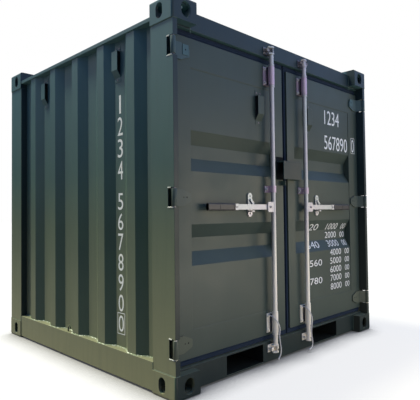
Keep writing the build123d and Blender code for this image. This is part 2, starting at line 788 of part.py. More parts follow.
def hinge_blade(level):
    """A knuckle on the pin, an arm to the leaf's edge and a tongue on its face with a rounded tip."""
    pad_front = DOOR_FACE - BLADE_THICKNESS
    start = LEAF_OUTER + BLADE_BACK_CUT
    tip = -HALF_WIDTH + BLADE_REACH
    half = HINGE_HEIGHT / 2 - KNUCKLE_END_GAP
    tip_half = BLADE_TIP_HEIGHT / 2
    shoulder = tip - BLADE_TAPER
    outline = [
        (start, level - half),
        (shoulder, level - half),
        (tip, level - tip_half),
        (tip, level + tip_half),
        (shoulder, level + half),
        (start, level + half),
    ]
    pad = prism(outline, "Y", pad_front, DOOR_FACE)
    corners = [edge for edge in pad.edges().filter_by(Axis.Y) if edge.center().X > shoulder - 1]
    pad = fillet(corners, BLADE_ROUND)
    crank = strip((PIN_X, PIN_Y), (start, pad_front + BLADE_THICKNESS / 2), BLADE_ARM)
    arm = prism(crank, "Z", level - half, level + half)
    knuckle = rod((PIN_X, PIN_Y), KNUCKLE_RADIUS, "Z", level - half, level + half)
    bore = rod((PIN_X, PIN_Y), PIN_RADIUS + PIN_CLEARANCE, "Z", level - half - 1, level + half + 1)
    return knuckle + arm + pad - bore


def rod_bearing(level, height, slotted):
    """A bracket on the leaf: a base plate, a neck and a round nose about the rod."""
    low, high = level - height / 2, level + height / 2
    plate_front = DOOR_FACE - BEARING_FLANGE
    width = (ROD_X - BEARING_HALF_WIDTH, ROD_X + BEARING_HALF_WIDTH)
    flange = block(width, (plate_front, DOOR_FACE), (low, high))
    neck = block((ROD_X - BEARING_NECK / 2, ROD_X + BEARING_NECK / 2), (ROD_Y, plate_front), (low, high))
    nose = rod((ROD_X, ROD_Y), BEARING_NOSE_RADIUS, "Z", low, high)
    bracket = flange + neck + nose - rod((ROD_X, ROD_Y), ROD_RADIUS + ROD_CLEARANCE, "Z", low - 1, high + 1)
    if slotted:
        reach = BEARING_NOSE_RADIUS + 1
        half = BEARING_SLOT / 2
        for start in (low + BEARING_SLOT_FROM_END, high - BEARING_SLOT_FROM_END - BEARING_SLOT):
            z = (start, start + BEARING_SLOT)
            bracket -= block((ROD_X - reach, ROD_X + reach), (ROD_Y - half, ROD_Y + half), z)
    return bracket


def rod_bearings():
    """Two slotted bearings on the rails and a plain guide on the sunk panel."""
    guide = rod_bearing(GUIDE_LEVEL, GUIDE_HEIGHT, False)
    x = (ROD_X - BEARING_HALF_WIDTH, ROD_X + BEARING_HALF_WIDTH)
    z = (GUIDE_LEVEL - GUIDE_HEIGHT / 2, GUIDE_LEVEL + GUIDE_HEIGHT / 2)
    guide += block(x, (DOOR_FACE, PANEL_FACE), z)
    bearings = [rod_bearing(level, BEARING_HEIGHT, True) for level in (BEARING_BOTTOM, BEARING_TOP)]
    return [*bearings, guide]


def door_vent():
    return Pos(-DOOR_VENT_OFFSET, PANEL_FACE, PANEL_TOP - DOOR_VENT_DROP) * vent_cover()


def handle_catch(centre):
    """A plate with an eye at each end, a shelf under the bar and a leaning lever on a stud above it."""
    front = PANEL_FACE - CATCH_PLATE
    middle = HANDLE_LEVEL + CATCH_RISE
    half = CATCH_WIDTH / 2
    eyes = (middle - CATCH_HALF_SPREAD, middle + CATCH_HALF_SPREAD)
    plate = block((centre - half, centre + half), (front, PANEL_FACE), eyes)
    for level in eyes:
        plate += rod((centre, level), CATCH_EYE_OUTER, "Y", front, PANEL_FACE)
    for level in eyes:
        plate -= rod((centre, level), CATCH_EYE_RADIUS, "Y", front - 1, PANEL_FACE + 1)
    shelf = HANDLE_LEVEL - HANDLE_BAR_HEIGHT / 2 - CATCH_SHELF_GAP
    shelf_end = centre - half + CATCH_SHELF_LENGTH
    plate += block((centre - half, shelf_end), (ROD_Y, front), (shelf - CATCH_SHELF, shelf))
    lever_back = front - LEVER_AHEAD
    stud = (centre, HANDLE_LEVEL + LEVER_STUD_RISE)
    lean = math.radians(LEVER_LEAN)
    tip = (stud[0] + LEVER_LENGTH * math.sin(lean), stud[1] - LEVER_LENGTH * math.cos(lean))
    lever = prism(strip(stud, tip, LEVER_WIDTH), "Y", lever_back - LEVER_THICKNESS, lever_back)
    return plate + rod(stud, LEVER_STUD_RADIUS, "Y", lever_back - LEVER_THICKNESS, front) + lever


def lock_box():
    """A plate box on the right leaf that laps over the left leaf, open below and at its left."""
    front = DOOR_FACE - LOCK_BOX_DEPTH
    lap = DOOR_FACE - LOCK_BOX_CLEARANCE
    low, high = LOCK_BOX_BOTTOM, LOCK_BOX_BOTTOM + LOCK_BOX_HEIGHT
    box = block((LOCK_BOX_LEFT, LOCK_BOX_RIGHT), (front, DOOR_FACE), (low, high))
    box -= block((LOCK_BOX_LEFT - 1, MEETING_GAP / 2), (lap, DOOR_FACE + 1), (low - 1, high + 1))
    return box - block(
        (LOCK_BOX_LEFT - 1, LOCK_BOX_RIGHT - LOCK_BOX_PLATE),
        (front + LOCK_BOX_PLATE, DOOR_FACE + 1),
        (low - 1, high - LOCK_BOX_PLATE),
    )


def lock_lug():
    """A short plate that stands out of the left leaf under the lock box."""
    x = LEAF_INNER - LUG_FROM_EDGE
    top = LOCK_BOX_BOTTOM - LUG_DROP
    return block((x, x + LUG_PLATE), (DOOR_FACE - LUG_DEPTH, DOOR_FACE), (top - LUG_HEIGHT, top))


# Tie ropes: free cords from the lower bearings' plates, over the front of the rods and down.
LEFT_ROPE = (
    (-205.0, -906.0, 285.0),
    (-205.0, -931.0, 285.0),
    (-203.0, -956.0, 270.0),
    (-190.0, -968.0, 248.0),
    (-173.0, -970.0, 212.0),
    (-181.0, -970.0, 168.0),
    (-174.0, -971.0, 122.0),
    (-164.0, -970.0, 84.0),
    (-170.0, -970.0, 54.0),
    (-192.0, -969.0, 32.0),
)
RIGHT_ROPE = (
    (146.0, -906.0, 285.0),
    (146.0, -931.0, 285.0),
    (146.0, -957.0, 272.0),
    (156.0, -968.0, 246.0),
    (171.0, -970.0, 208.0),
    (160.0, -970.0, 160.0),
    (155.0, -970.0, 112.0),
    (168.0, -971.0, 72.0),
    (170.0, -970.0, 46.0),
    (156.0, -970.0, 26.0),
    (132.0, -968.0, 20.0),
)


def rope(name, route):
    """A tube of straight runs and tangent arcs, each arc as large as its two runs allow."""
    points = [Vector(*point) for point in route]
    radii = []
    for before, here, after in zip(points, points[1:], points[2:]):
        run = min((here - before).length, (after - here).length)
        turn = math.radians((here - before).get_angle(after - here))
        radii.append(0.45 * run / math.tan(turn / 2))
    path = FilletPolyline(*points, radius=radii)
    section = Plane(origin=path @ 0, z_dir=path % 0) * Circle(ROPE_DIAMETER / 2)
    tube = sweep(section, path)
    print(name, "length", round(path.length, 1), "radii", [round(radius) for radius in radii])
    print(name, "volume share", round(tube.volume / (math.pi * ROPE_DIAMETER**2 / 4 * path.length), 4))
    save(name, tube)


def doors():
    for side in ("left", "right"):
        turn = mirrored if side == "right" else lambda shape: shape
        save(f"{side}_leaf_frame", turn(leaf_frame()))
        save(f"{side}_leaf_panel", turn(leaf_panel()))
        save(f"{side}_leaf_seal", turn(leaf_seal()))
        save(f"{side}_hinge_blades", [turn(hinge_blade(level)) for level in HINGE_CENTRES])
        save(f"{side}_rod_bearings", [turn(bearing) for bearing in rod_bearings()])
        save(f"{side}_door_vent", turn(door_vent()))
    save("left_handle_catch", handle_catch(-CATCH_OFFSET))
    save("right_handle_catch", handle_catch(CATCH_OFFSET))
    save("lock_box", lock_box())
    save("lock_lug", lock_lug())
    rope("left_tie_rope", LEFT_ROPE)
    rope("right_tie_rope", RIGHT_ROPE)


# Lock rods and handles


def cam(level):
    """A C-shaped cam that closes round the keeper's tongue: two fingers joined by half of the rod."""
    throat = TONGUE_HALF_HEIGHT + CAM_GAP
    reach = throat + CAM_THICKNESS
    body = rod((ROD_X, ROD_Y), ROD_RADIUS, "Z", level - reach, level + reach)
    open_x = (ROD_X - ROD_RADIUS - 1, ROD_X)
    open_y = (ROD_Y - ROD_RADIUS - 1, ROD_Y + ROD_RADIUS + 1)
    body -= block(open_x, open_y, (level - throat, level + throat))
    nose = ROD_X - CAM_REACH + CAM_NOSE_RADIUS
    for low in (level - reach, level + throat):
        high = low + CAM_THICKNESS
        body += rod((ROD_X, ROD_Y), CAM_HUB_RADIUS, "Z", low, high)
        body += rod((nose, ROD_Y), CAM_NOSE_RADIUS, "Z", low, high)
        body += block((nose, ROD_X), (ROD_Y - CAM_NOSE_RADIUS, ROD_Y + CAM_NOSE_RADIUS), (low, high))
    return body


def lock_rod():
    """A rod from sill to header with its cams, its collars and the plate that carries the handle."""
    cam_half = TONGUE_HALF_HEIGHT + CAM_GAP + CAM_THICKNESS
    shaft = rod((ROD_X, ROD_Y), ROD_RADIUS, "Z", CAM_BOTTOM + cam_half, CAM_TOP - cam_half)
    shaft += cam(CAM_BOTTOM) + cam(CAM_TOP)
    reach = BEARING_HEIGHT / 2 + COLLAR_GAP
    for middle in (BEARING_BOTTOM, BEARING_TOP):
        for low in (middle - reach - COLLAR_HEIGHT, middle + reach):
            shaft += rod((ROD_X, ROD_Y), COLLAR_RADIUS, "Z", low, low + COLLAR_HEIGHT)
    front = HUB_BACK - HUB_THICKNESS
    outer = PIVOT_X - HUB_WIDTH / 2
    levels = (HANDLE_LEVEL - HUB_HEIGHT / 2, HANDLE_LEVEL + HUB_HEIGHT / 2)
    hub = block((outer, ROD_X), (front, HUB_BACK), levels)
    corners = [edge for edge in hub.edges().filter_by(Axis.Y) if edge.center().X < outer + 1]
    hub = fillet(corners, HUB_ROUND)
    bolt_end = BAR_Y + HANDLE_BAR_THICKNESS + BOLT_HEAD
    bolt = rod((PIVOT_X, HANDLE_LEVEL), BOLT_RADIUS, "Y", front - BOLT_HEAD, bolt_end)
    return shaft + hub + bolt


def handle_bar():
    """A flat bar from the pivot bolt to the grip, with a ferrule at the grip."""
    y = (BAR_Y, BAR_Y + HANDLE_BAR_THICKNESS)
    half = HANDLE_BAR_HEIGHT / 2
    end = PIVOT_X - HANDLE_BAR_LENGTH
    bar = block((end, PIVOT_X), y, (HANDLE_LEVEL - half, HANDLE_LEVEL + half))
    bar += rod((PIVOT_X, HANDLE_LEVEL), half, "Y", *y)
    extra = FERRULE_EXTRA
    reach = half + extra
    levels = (HANDLE_LEVEL - reach, HANDLE_LEVEL + reach)
    bar += block((end, end + FERRULE_LENGTH), (y[0] - extra, y[1] + extra), levels)
    return bar - rod((PIVOT_X, HANDLE_LEVEL), BOLT_RADIUS + BOLT_CLEARANCE, "Y", y[0] - 1, y[1] + 1)


def handle_grip():
    """A moulded grip with rounded edges beyond the bar's end."""
    middle = BAR_Y + HANDLE_BAR_THICKNESS / 2
    end = PIVOT_X - HANDLE_BAR_LENGTH
    y = (middle - GRIP_THICKNESS / 2, middle + GRIP_THICKNESS / 2)
    z = (HANDLE_LEVEL - GRIP_HEIGHT / 2, HANDLE_LEVEL + GRIP_HEIGHT / 2)
    grip = block((end - GRIP_LENGTH, end), y, z)
    return fillet(grip.edges().filter_by(Axis.X), GRIP_ROUND)


def locking_gear():
    save("left_lock_rod", lock_rod())
    save("right_lock_rod", mirrored(lock_rod()))
    save("left_handle_bar", handle_bar())
    save("right_handle_bar", mirrored(handle_bar()))
    save("left_handle_grip", handle_grip())
    save("right_handle_grip", mirrored(handle_grip()))


castings()
posts()
beams()
side_rails()
shell()
floor()
fixed_fittings()
doors()
locking_gear()
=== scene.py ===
"""Looks of a small cube shipping container: paint, zinc, rubber, welds, bolts, ropes and numbers."""

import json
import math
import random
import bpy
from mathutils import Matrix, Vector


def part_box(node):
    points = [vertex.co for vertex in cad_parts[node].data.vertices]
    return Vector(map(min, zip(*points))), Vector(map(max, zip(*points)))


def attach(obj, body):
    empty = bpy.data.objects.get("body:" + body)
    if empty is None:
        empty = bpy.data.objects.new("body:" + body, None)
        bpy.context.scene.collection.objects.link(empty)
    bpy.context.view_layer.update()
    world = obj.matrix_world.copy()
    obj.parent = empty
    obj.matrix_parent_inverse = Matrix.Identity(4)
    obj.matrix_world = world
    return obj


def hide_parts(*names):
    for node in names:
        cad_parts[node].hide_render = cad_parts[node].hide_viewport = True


bl_info = {
    "name": "Cube shipping container",
    "version": (1, 0, 0),
    "blender": (4, 5, 0),
    "location": "3D View > Sidebar > Container",
    "description": "Dresses a packed container model with its finishes, welds, fasteners and ropes",
    "category": "Add Mesh",
}

import bmesh
import bpy
from mathutils import Matrix, Vector

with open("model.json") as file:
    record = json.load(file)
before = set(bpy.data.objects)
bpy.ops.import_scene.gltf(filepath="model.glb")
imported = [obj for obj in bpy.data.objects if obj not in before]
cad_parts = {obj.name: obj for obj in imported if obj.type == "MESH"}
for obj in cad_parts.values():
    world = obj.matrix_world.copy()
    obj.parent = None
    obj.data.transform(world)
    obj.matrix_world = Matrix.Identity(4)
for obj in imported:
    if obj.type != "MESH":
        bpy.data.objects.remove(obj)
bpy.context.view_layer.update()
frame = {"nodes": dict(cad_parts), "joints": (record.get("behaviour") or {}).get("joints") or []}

# The doors look along -Y. Left-hand places have a negative X, and the right side mirrors them.
MM = 0.001
SIDES = (("left", 1), ("right", -1))
RIGHT = Vector((1, 0, 0))
UP = Vector((0, 0, 1))
TO_FRONT = Vector((0, -1, 0))
TO_LEFT = Vector((-1, 0, 0))

# Places read from the fixed model
LEAF_LOW, LEAF_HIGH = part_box("left_leaf_frame")
PANEL_LOW, PANEL_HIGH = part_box("left_leaf_panel")
SEAL_LOW, SEAL_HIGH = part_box("left_leaf_seal")
POST_LOW, POST_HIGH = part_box("door_post_left")
HEADER_LOW, HEADER_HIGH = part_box("door_header")
RAIL_LOW, RAIL_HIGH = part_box("bottom_side_rail_left")
TOP_RAIL_LOW, TOP_RAIL_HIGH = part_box("top_side_rail_left")
WALL_LOW, WALL_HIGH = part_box("side_wall_left")
DECK_LOW, DECK_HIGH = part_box("floor_deck")
GRIP_LOW, GRIP_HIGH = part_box("left_handle_grip")
LOCK_BOX_LOW, LOCK_BOX_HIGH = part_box("lock_box")
VENT_LOW, VENT_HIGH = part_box("left_door_vent")
CASTING_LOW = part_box("front_bottom_castings")[0]
TOP_CASTING_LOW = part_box("front_top_castings")[0]
SILL_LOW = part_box("door_sill")[0]
BAR_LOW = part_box("left_handle_bar")[0]
WALL_VENT_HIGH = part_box("wall_vents")[1]
JOINTS = {joint["name"]: Vector(joint["pos_m"]) for joint in frame["joints"]}
ROD = JOINTS["left_rod_turn"]
HANDLE_PIVOT = JOINTS["left_handle_lift"]
HANDLE_LEVEL = HANDLE_PIVOT.z
DOOR_FACE = LEAF_LOW.y
PANEL_FACE = PANEL_LOW.y

# Sizes shared with the solids, in metres
CASTING_HEIGHT = 118 * MM
CASTING_WIDTH = 162 * MM
BEARING_LEVELS = (LEAF_HIGH.z - 76 * MM, LEAF_LOW.z + 72 * MM)
BEARING_PLATE = 6 * MM
BEARING_BOLT_ASIDE = 29 * MM
BEARING_BOLT_SPREAD = 42 * MM
BEARING_NECK = 22 * MM
BEARING_HALF_HEIGHT = 56 * MM
GUIDE_BOLT_LEVEL = HANDLE_LEVEL + 107 * MM
HINGE_LEVELS = (1.709, 0.970, 0.244)
HINGE_FACE = DOOR_FACE - 8 * MM
HINGE_SCREW_X = LEAF_LOW.x + 89 * MM
HINGE_CUT_HALF = 48 * MM
HUB_FACE = ROD.y - 16 * MM
VENT_WIDTH = 56 * MM
VENT_DEPTH = 26 * MM
VENT_HEAD_TAB = 38 * MM
VENT_FRONT_FOOT = 144 * MM
VENT_SLOPE_FOOT = 182 * MM
VENT_SHEET = 2 * MM
WALL_VENT_PLACES = (-427.5 * MM, 463.5 * MM)
WAVE_PITCH = 297 * MM
WAVE_FLAT = 72 * MM
WAVE_SLOPE = 66 * MM
WAVE_DEPTH = 36 * MM
SIDE_RIDGES = 5
RECESS_FLAT = 71 * MM
RECESS_SLOPE = 70 * MM
RECESS_DEPTH = 40 * MM
RECESS_SPACING = 483 * MM

# Sizes of the small pieces that are added
HINGE_PLATE = 2.5 * MM
HINGE_PLATE_RISE = 11 * MM
PAINT_LIFT = 0.6 * MM
TABLE_PAINT_LIFT = 1.2 * MM
STRAND_SIDES = 8

# Figures on the left wall: the text, its first figure's top, the step down and the share of the full height
WALL_FIGURES = (("1234", 1.562, 0.124, 1.0), ("567890", 1.010, 0.113, 0.9))
WALL_FIGURE_WIDTH = 50 * MM
NARROW_ONE = 0.35

# Figures on the right door: the text, the place of its lower left corner across and up, and its width
DOOR_FIGURES = (("1234", 0.478, 1.513, 0.200), ("567890", 0.472, 1.335, 0.318))
TABLE_ROWS = 8
TABLE_TOP = 0.766
TABLE_STEP = 0.0605

# Camera, found by fitting the castings and the doors' corners to the photograph
CAMERA_PLACE = (-2.4152, -2.6493, 0.8892)
CAMERA_YAW = 44.869
CAMERA_PITCH = 1.681
CAMERA_ROLL = -0.659
CAMERA_LENS = 40.01
CAMERA_SENSOR = 36.0
CAMERA_FAR_END = 200.0

# Lamps by their kind, the way to them from the target, the sun's angle or the lamp's size, power and colour
LAMPS = (
    ("key", "SUN", (-0.20, 0.37, 0.91), math.radians(14), 6.1, "#fffad9"),
    ("front", "AREA", (0.70, -0.71, 0.0), 3.0, 96.0, "#ffecc2"),
    ("fill", "AREA", (0.45, -0.89, 0.02), 3.0, 100.0, "#fff3e0"),
)
LAMP_TARGET = Vector((0.0, 0.0, 0.8))
LAMP_DISTANCE = 9.0
WORLD_POWER = 0.6
WORLD_TINT = "#62a4ff"

# Cards about the object, by their two feet, their low and high edges, colour and strength
STUDIO_CARDS = (
    ("studio_dark_card", (-4.5, -7.0), (-4.5, 0.9), 0.0, 4.5, "#1f3861", 1.0),
    ("studio_blue_card", (-0.5, -6.5), (7.5, -0.5), 2.1, 6.5, "#adcaff", 1.05),
    ("studio_right_card", (3.8, -3.28), (7.5, -0.5), 0.0, 2.1, "#4a5560", 1.0),
    ("studio_rear_card", (-4.6, 6.0), (0.0, 6.0), 0.0, 4.5, "#36464e", 1.0),
    ("studio_warm_card", (-1.0, -2.2), (1.3, -2.2), 0.0, 0.45, "#fff2dc", 3.0),
)

# Floor: its reach, its colour to the object and to the camera, and its glow in the shadow and outside it
FLOOR_REACH = 60.0
FLOOR_BOUNCE = "#86827a"
FLOOR_SHADE = "#6c6c6c"
FLOOR_GLOW = (0.05, 0.82)
CONTACT_SHADOW_REACH = 0.3

# Colours of dirt, wear, tone, painted light and painted shade within a finish
# Painted sky light on the upper parts
PAINTED_SKY_BLUE = "#4c6f80"
# Painted shade at the door end and in the recess about the doors
PAINTED_SHADE_NAVY = "#0d1622"
RAIN_STREAK = "#333f3f"
# Painted light of the sunlit ground on the zinc's lower half
PAINTED_GROUND_CREAM = "#f7f0e2"
RUBBER_BLOOM = "#2c3647"
PLASTIC_SHADE = "#34343c"
PLYWOOD_GRAIN = "#5c3f27"
ROPE_SHADE = "#d2cfd2"
THIN_STENCIL = "#9aa39d"

# Wear and painted light of each painted finish: how deep its sheet waves, the share of painted sky light
# high up, the share of road dust low down that also paints the ground's bounce light, how much of that dust
# and light the faces at the door end keep, and the share of painted shade on those faces and in the recess
# about the doors
PAINT_WEAR = {
    "frame_paint": {"waves": 1.0 * MM, "painted_sky_light": 0.6, "dust_and_ground_light": 0.85, "front_share_of_dust_and_light": 0.05, "painted_shade": 0.78},
    "wall_paint": {"waves": 3.0 * MM, "painted_sky_light": 0.6, "dust_and_ground_light": 0.65, "front_share_of_dust_and_light": 0.1, "painted_shade": 0.0},
    "door_paint": {"waves": 2.0 * MM, "painted_sky_light": 0.0, "dust_and_ground_light": 0.03, "front_share_of_dust_and_light": 1.0, "painted_shade": 0.0},
    "blade_paint": {"waves": 1.0 * MM, "painted_sky_light": 0.35, "dust_and_ground_light": 0.3, "front_share_of_dust_and_light": 0.8, "painted_shade": 0.0},
    "pocket_shade_paint": {"waves": 1.0 * MM, "painted_sky_light": 0.0, "dust_and_ground_light": 0.03, "front_share_of_dust_and_light": 1.0, "painted_shade": 0.0},
}

# Each fixed solid's finish, by words in its name; the first word that fits is used
NODE_FINISHES = (
    ("leaf_seal", "rubber"),
    ("grip", "plastic"),
    ("tie_rope", "rope"),
    ("tie_back", "frame_paint"),
    ("keepers", "dark_zinc"),
    ("lock_rod", "zinc"),
    ("rod_bearings", "tinted_zinc"),
    ("handle", "zinc"),
    ("hinge_pins", "dark_zinc"),
    ("hinge_blades", "blade_paint"),
    ("fork_pocket", "pocket_shade_paint"),
    ("deck", "plywood"),
    ("wall", "wall_paint"),
    ("roof", "wall_paint"),
    ("leaf", "door_paint"),
    ("vent", "door_paint"),
    ("", "frame_paint"),
)
MATERIALS = {}

# Ropes: the points of the solids' routes, in metres
LEFT_ROPE = (
    (-0.205, -0.906, 0.285),
    (-0.205, -0.931, 0.285),
    (-0.203, -0.956, 0.270),
    (-0.190, -0.968, 0.248),
    (-0.173, -0.970, 0.212),
    (-0.181, -0.970, 0.168),
    (-0.174, -0.971, 0.122),
    (-0.164, -0.970, 0.084),
    (-0.170, -0.970, 0.054),
    (-0.192, -0.969, 0.032),
)
RIGHT_ROPE = (
    (0.146, -0.906, 0.285),
    (0.146, -0.931, 0.285),
    (0.146, -0.957, 0.272),
    (0.156, -0.968, 0.246),
    (0.171, -0.970, 0.208),
    (0.160, -0.970, 0.160),
    (0.155, -0.970, 0.112),
    (0.168, -0.971, 0.072),
    (0.170, -0.970, 0.046),
    (0.156, -0.970, 0.026),
    (0.132, -0.968, 0.020),
)


def linear(hex_colour):
    """An sRGB hex colour as the linear RGBA that shaders use."""
    channels = [int(hex_colour[i : i + 2], 16) / 255 for i in (1, 3, 5)]
    return tuple(c / 12.92 if c <= 0.04045 else ((c + 0.055) / 1.055) ** 2.4 for c in channels) + (1.0,)


def colour_property(name, hex_colour, description):
    """A colour that a user can change."""
    return bpy.props.FloatVectorProperty(
        name=name,
        description=description,
        subtype="COLOR",
        size=4,
        min=0.0,
        max=1.0,
        default=linear(hex_colour),
    )


def length_property(name, millimetres, description):
    """A length that a user can change."""
    return bpy.props.FloatProperty(
        name=name, description=description, unit="LENGTH", min=0.0, default=millimetres * MM
    )


class ContainerSizes(bpy.types.PropertyGroup):
    """Sizes of the fasteners, welds, ropes and numbers."""

    bolt_across: length_property("Bolt size", 15, "Width across the flats of the bearing bolts")
    bolt_height: length_property("Bolt head height", 7, "Height of a hexagon head")
    weld_width: length_property("Weld width", 7, "Width of a weld bead")
    weld_rise: length_property("Weld height", 2.2, "Height of a weld bead over the plate")
    weld_step: length_property("Weld ripple", 7, "Distance between the ripples of a bead")
    rope_diameter: length_property("Rope diameter", 8, "Diameter over the three strands")
    rope_lay: length_property("Rope lay", 30, "Length of one turn of a strand")
    wall_number_height: length_property("Wall number height", 104, "Height of the numbers on the side wall")
    door_number_height: length_property("Door number height", 100, "Height of the right door's numbers")
    table_number_height: length_property("Table number height", 44, "Height of the small rows of numbers")
    edge_radius: length_property("Edge radius", 1.5, "Rounding of the pressed and welded steel's edges")


class ContainerColours(bpy.types.PropertyGroup):
    """Colours of the finishes."""

    paint: colour_property("Paint", "#394f47", "Dark green semi-gloss paint of the frame and the walls")
    paint_faded: colour_property("Sun-faded paint", "#435a4c", "Paint that the sun has made paler")
    door_paint: colour_property("Door paint", "#374441", "Dark green paint of the doors")
    door_faded: colour_property("Faded door paint", "#404d49", "Door paint that the sun has made paler")
    # This colour also paints the warm light bounced from the ground onto the lower parts
    dust_and_ground_light: colour_property("Road dust", "#84846a", "Olive dust that lies on the lower parts")
    zinc: colour_property("Zinc", "#b4babe", "Zinc coat on the locking gear")
    zinc_tint: colour_property("Passivated zinc", "#bda9c2", "Pinkish tint of the zinc's passivation")
    rubber: colour_property("Rubber", "#1d2a3d", "Dark blue-black rubber of the door seals")
    grip: colour_property("Grip", "#26262c", "Black plastic of the handle grips")
    rope: colour_property("Rope", "#f2efe8", "Pale polyester rope")
    number: colour_property("Numbers", "#e9ebec", "White stencil paint")
    plywood: colour_property("Plywood", "#7a5636", "Varnished plywood of the deck")
    # Black that paints the shade inside the vents and the lock box and in the hinges' screw holes
    painted_shade_black: colour_property("Vent inside", "#0c0f12", "Dark inside of a vent")
    floor: colour_property("Studio floor", "#ffffff", "Pale floor of the studio")


def add_node(tree, kind, inputs=(), **settings):
    """Add a shader node; its inputs are values, sockets or nodes, in their order or by name or number."""
    node = tree.nodes.new(f"ShaderNode{kind}")
    for name, value in settings.items():
        setattr(node, name, value)
    for key, value in inputs.items() if isinstance(inputs, dict) else enumerate(inputs):
        if isinstance(value, bpy.types.Node):
            value = value.outputs[0]
        if isinstance(value, bpy.types.NodeSocket):
            tree.links.new(value, node.inputs[key])
        else:
            node.inputs[key].default_value = value
    return node


def empty_tree(holder):
    """The cleared node tree of a new material or world."""
    holder.use_nodes = True
    holder.node_tree.nodes.clear()
    return holder.node_tree


def new_finish(name):
    """A new material, its empty tree and the place on the object, in metres."""
    material = bpy.data.materials.new(name)
    tree = empty_tree(material)
    return material, tree, add_node(tree, "TexCoord").outputs["Object"]


def close_finish(tree, inputs):
    """End a finish with its shader."""
    shader = add_node(tree, "BsdfPrincipled", inputs)
    add_node(tree, "OutputMaterial", [shader])


def coats(tree, ground, *layers):
    """Lay coats over a ground colour, one on the other, each by the share that it covers."""
    for share, colour in layers:
        ground = add_node(tree, "Mix", {0: share, 6: ground, 7: colour}, data_type="RGBA").outputs[2]
    return ground


def patches(tree, place, size, limits=(0.0, 1.0), shares=(0.0, 1.0), detail=3.0):
    """Soft patches about as wide as the size: between its limits, the noise grows from share to share."""
    noise = add_node(tree, "TexNoise", {"Vector": place, "Scale": 1 / size, "Detail": detail})
    return add_node(tree, "MapRange", [noise, *limits, *shares])


def grain(tree, place, size, strength, depth, detail=3.0, base=None):
    """A bumpy skin with grains about as wide as the size, over the base skin if there is one."""
    height = add_node(tree, "TexNoise", {"Vector": place, "Scale": 1 / size, "Detail": detail})
    inputs = {"Strength": strength, "Distance": depth, "Height": height}
    if base:
        inputs["Normal"] = base
    return add_node(tree, "Bump", inputs)


def painted_steel(name, paint, faded, dust_and_light_colour):
    """Alkyd paint sprayed on sheet steel: a satin skin that shows its slow waves and fades in the sun."""
    material, tree, place = new_finish(name)
    wear = PAINT_WEAR[name]
    aside, depth, height = add_node(tree, "SeparateXYZ", [place]).outputs
    normal = add_node(tree, "TexCoord").outputs["Normal"]
    facing_x, facing_y, _ = add_node(tree, "SeparateXYZ", [normal]).outputs
    fading = patches(tree, place, 420 * MM, (0.35, 0.65), (0.0, 0.5))
    # Painted sky light: the upper parts are painted bluer, as the blue sky lights them.
    painted_sky_light = add_node(tree, "MapRange", [height, 0.8, 1.9, 0.0, wear["painted_sky_light"]])
    # Road dust lies thicker towards the ground and looks olive; the same coat also paints the warm light
    # bounced from the sunlit ground onto the lower parts. Faces that look to the door end keep less of it,
    # so they stay darker as painted shade.
    facing_dust_and_light = add_node(tree, "MapRange", [facing_y, -0.45, -0.1, wear["front_share_of_dust_and_light"], 1.0])
    low = add_node(tree, "MapRange", [height, 0.0, 1.15, wear["dust_and_ground_light"], 0.0])
    dust_and_ground_light = add_node(tree, "Math", [facing_dust_and_light, low], operation="MULTIPLY")
    # Painted shade: the faces at the door end are painted darker, as the container's own shadow falls
    # there.
    painted_shade = add_node(tree, "MapRange", [facing_y, -0.9, -0.4, wear["painted_shade"], 0.0])
    # Painted shade: the posts' inner sides, in the recess about the doors, are painted darker.
    inward = add_node(tree, "Math", [facing_x, aside], operation="MULTIPLY")
    inward = add_node(tree, "MapRange", [inward, -0.5, -0.2, wear["painted_shade"], 0.0])
    ahead = add_node(tree, "MapRange", [depth, -0.90, -0.88, 1.0, 0.0])
    painted_recess_shade = add_node(tree, "Math", [inward, ahead], operation="MULTIPLY")
    # Rain leaves upright streaks about 30 mm wide.
    upright = add_node(tree, "Mapping", {"Vector": place, "Scale": (1.0, 1.0, 0.08)})
    streaks = patches(tree, upright, 30 * MM, (0.45, 0.75), (0.0, 0.12))
    colour = coats(
        tree,
        paint,
        (fading, faded),
        (painted_sky_light, linear(PAINTED_SKY_BLUE)),
        (dust_and_ground_light, dust_and_light_colour),
        (painted_shade, linear(PAINTED_SHADE_NAVY)),
        (painted_recess_shade, linear(PAINTED_SHADE_NAVY)),
        (streaks, linear(RAIN_STREAK)),
    )
    gloss = patches(tree, place, 160 * MM, (0.3, 0.7), (0.36, 0.46))
    # Orange peel is about 2 mm wide on the real paint; 7 mm is the finest that shows here.
    peel = grain(tree, place, 7 * MM, 0.12, 0.4 * MM, detail=1.0)
    skin = grain(tree, place, 300 * MM, 0.5, wear["waves"], detail=1.0, base=peel)
    surface = {"Base Color": colour, "Roughness": gloss, "Normal": skin}
    close_finish(tree, {"IOR": 1.5, "Specular IOR Level": 0.3, **surface})
    return material


def passivated_zinc(name, zinc, tint, least, most):
    """Zinc-plated steel: bright metal with a faint pink bloom and spangles that differ in gloss, and a
    lower half painted pale as painted light.
    """
    material, tree, place = new_finish(name)
    height = add_node(tree, "SeparateXYZ", [place]).outputs["Z"]
    bloom = patches(tree, place, 260 * MM, (0.35, 0.65), (least, most))
    # Painted light: the lower half is painted creamy and less metallic, so that it shows as lit by the
    # sunlit ground.
    painted_low_light = add_node(tree, "MapRange", [height, 0.40, 0.9, 1.0, 0.0])
    metal = add_node(tree, "MapRange", [height, 0.40, 0.9, 0.0, 0.75])
    spangles = add_node(tree, "TexVoronoi", {"Vector": place, "Scale": 1 / (9 * MM)})
    surface = {
        "Base Color": coats(tree, zinc, (bloom, tint), (painted_low_light, linear(PAINTED_GROUND_CREAM))),
        "Metallic": metal,
        "Roughness": add_node(tree, "MapRange", [spangles, 0.0, 0.7, 0.42, 0.56]),
        "Normal": grain(tree, place, 5 * MM, 0.2, 0.3 * MM),
    }
    close_finish(tree, surface)
    return material


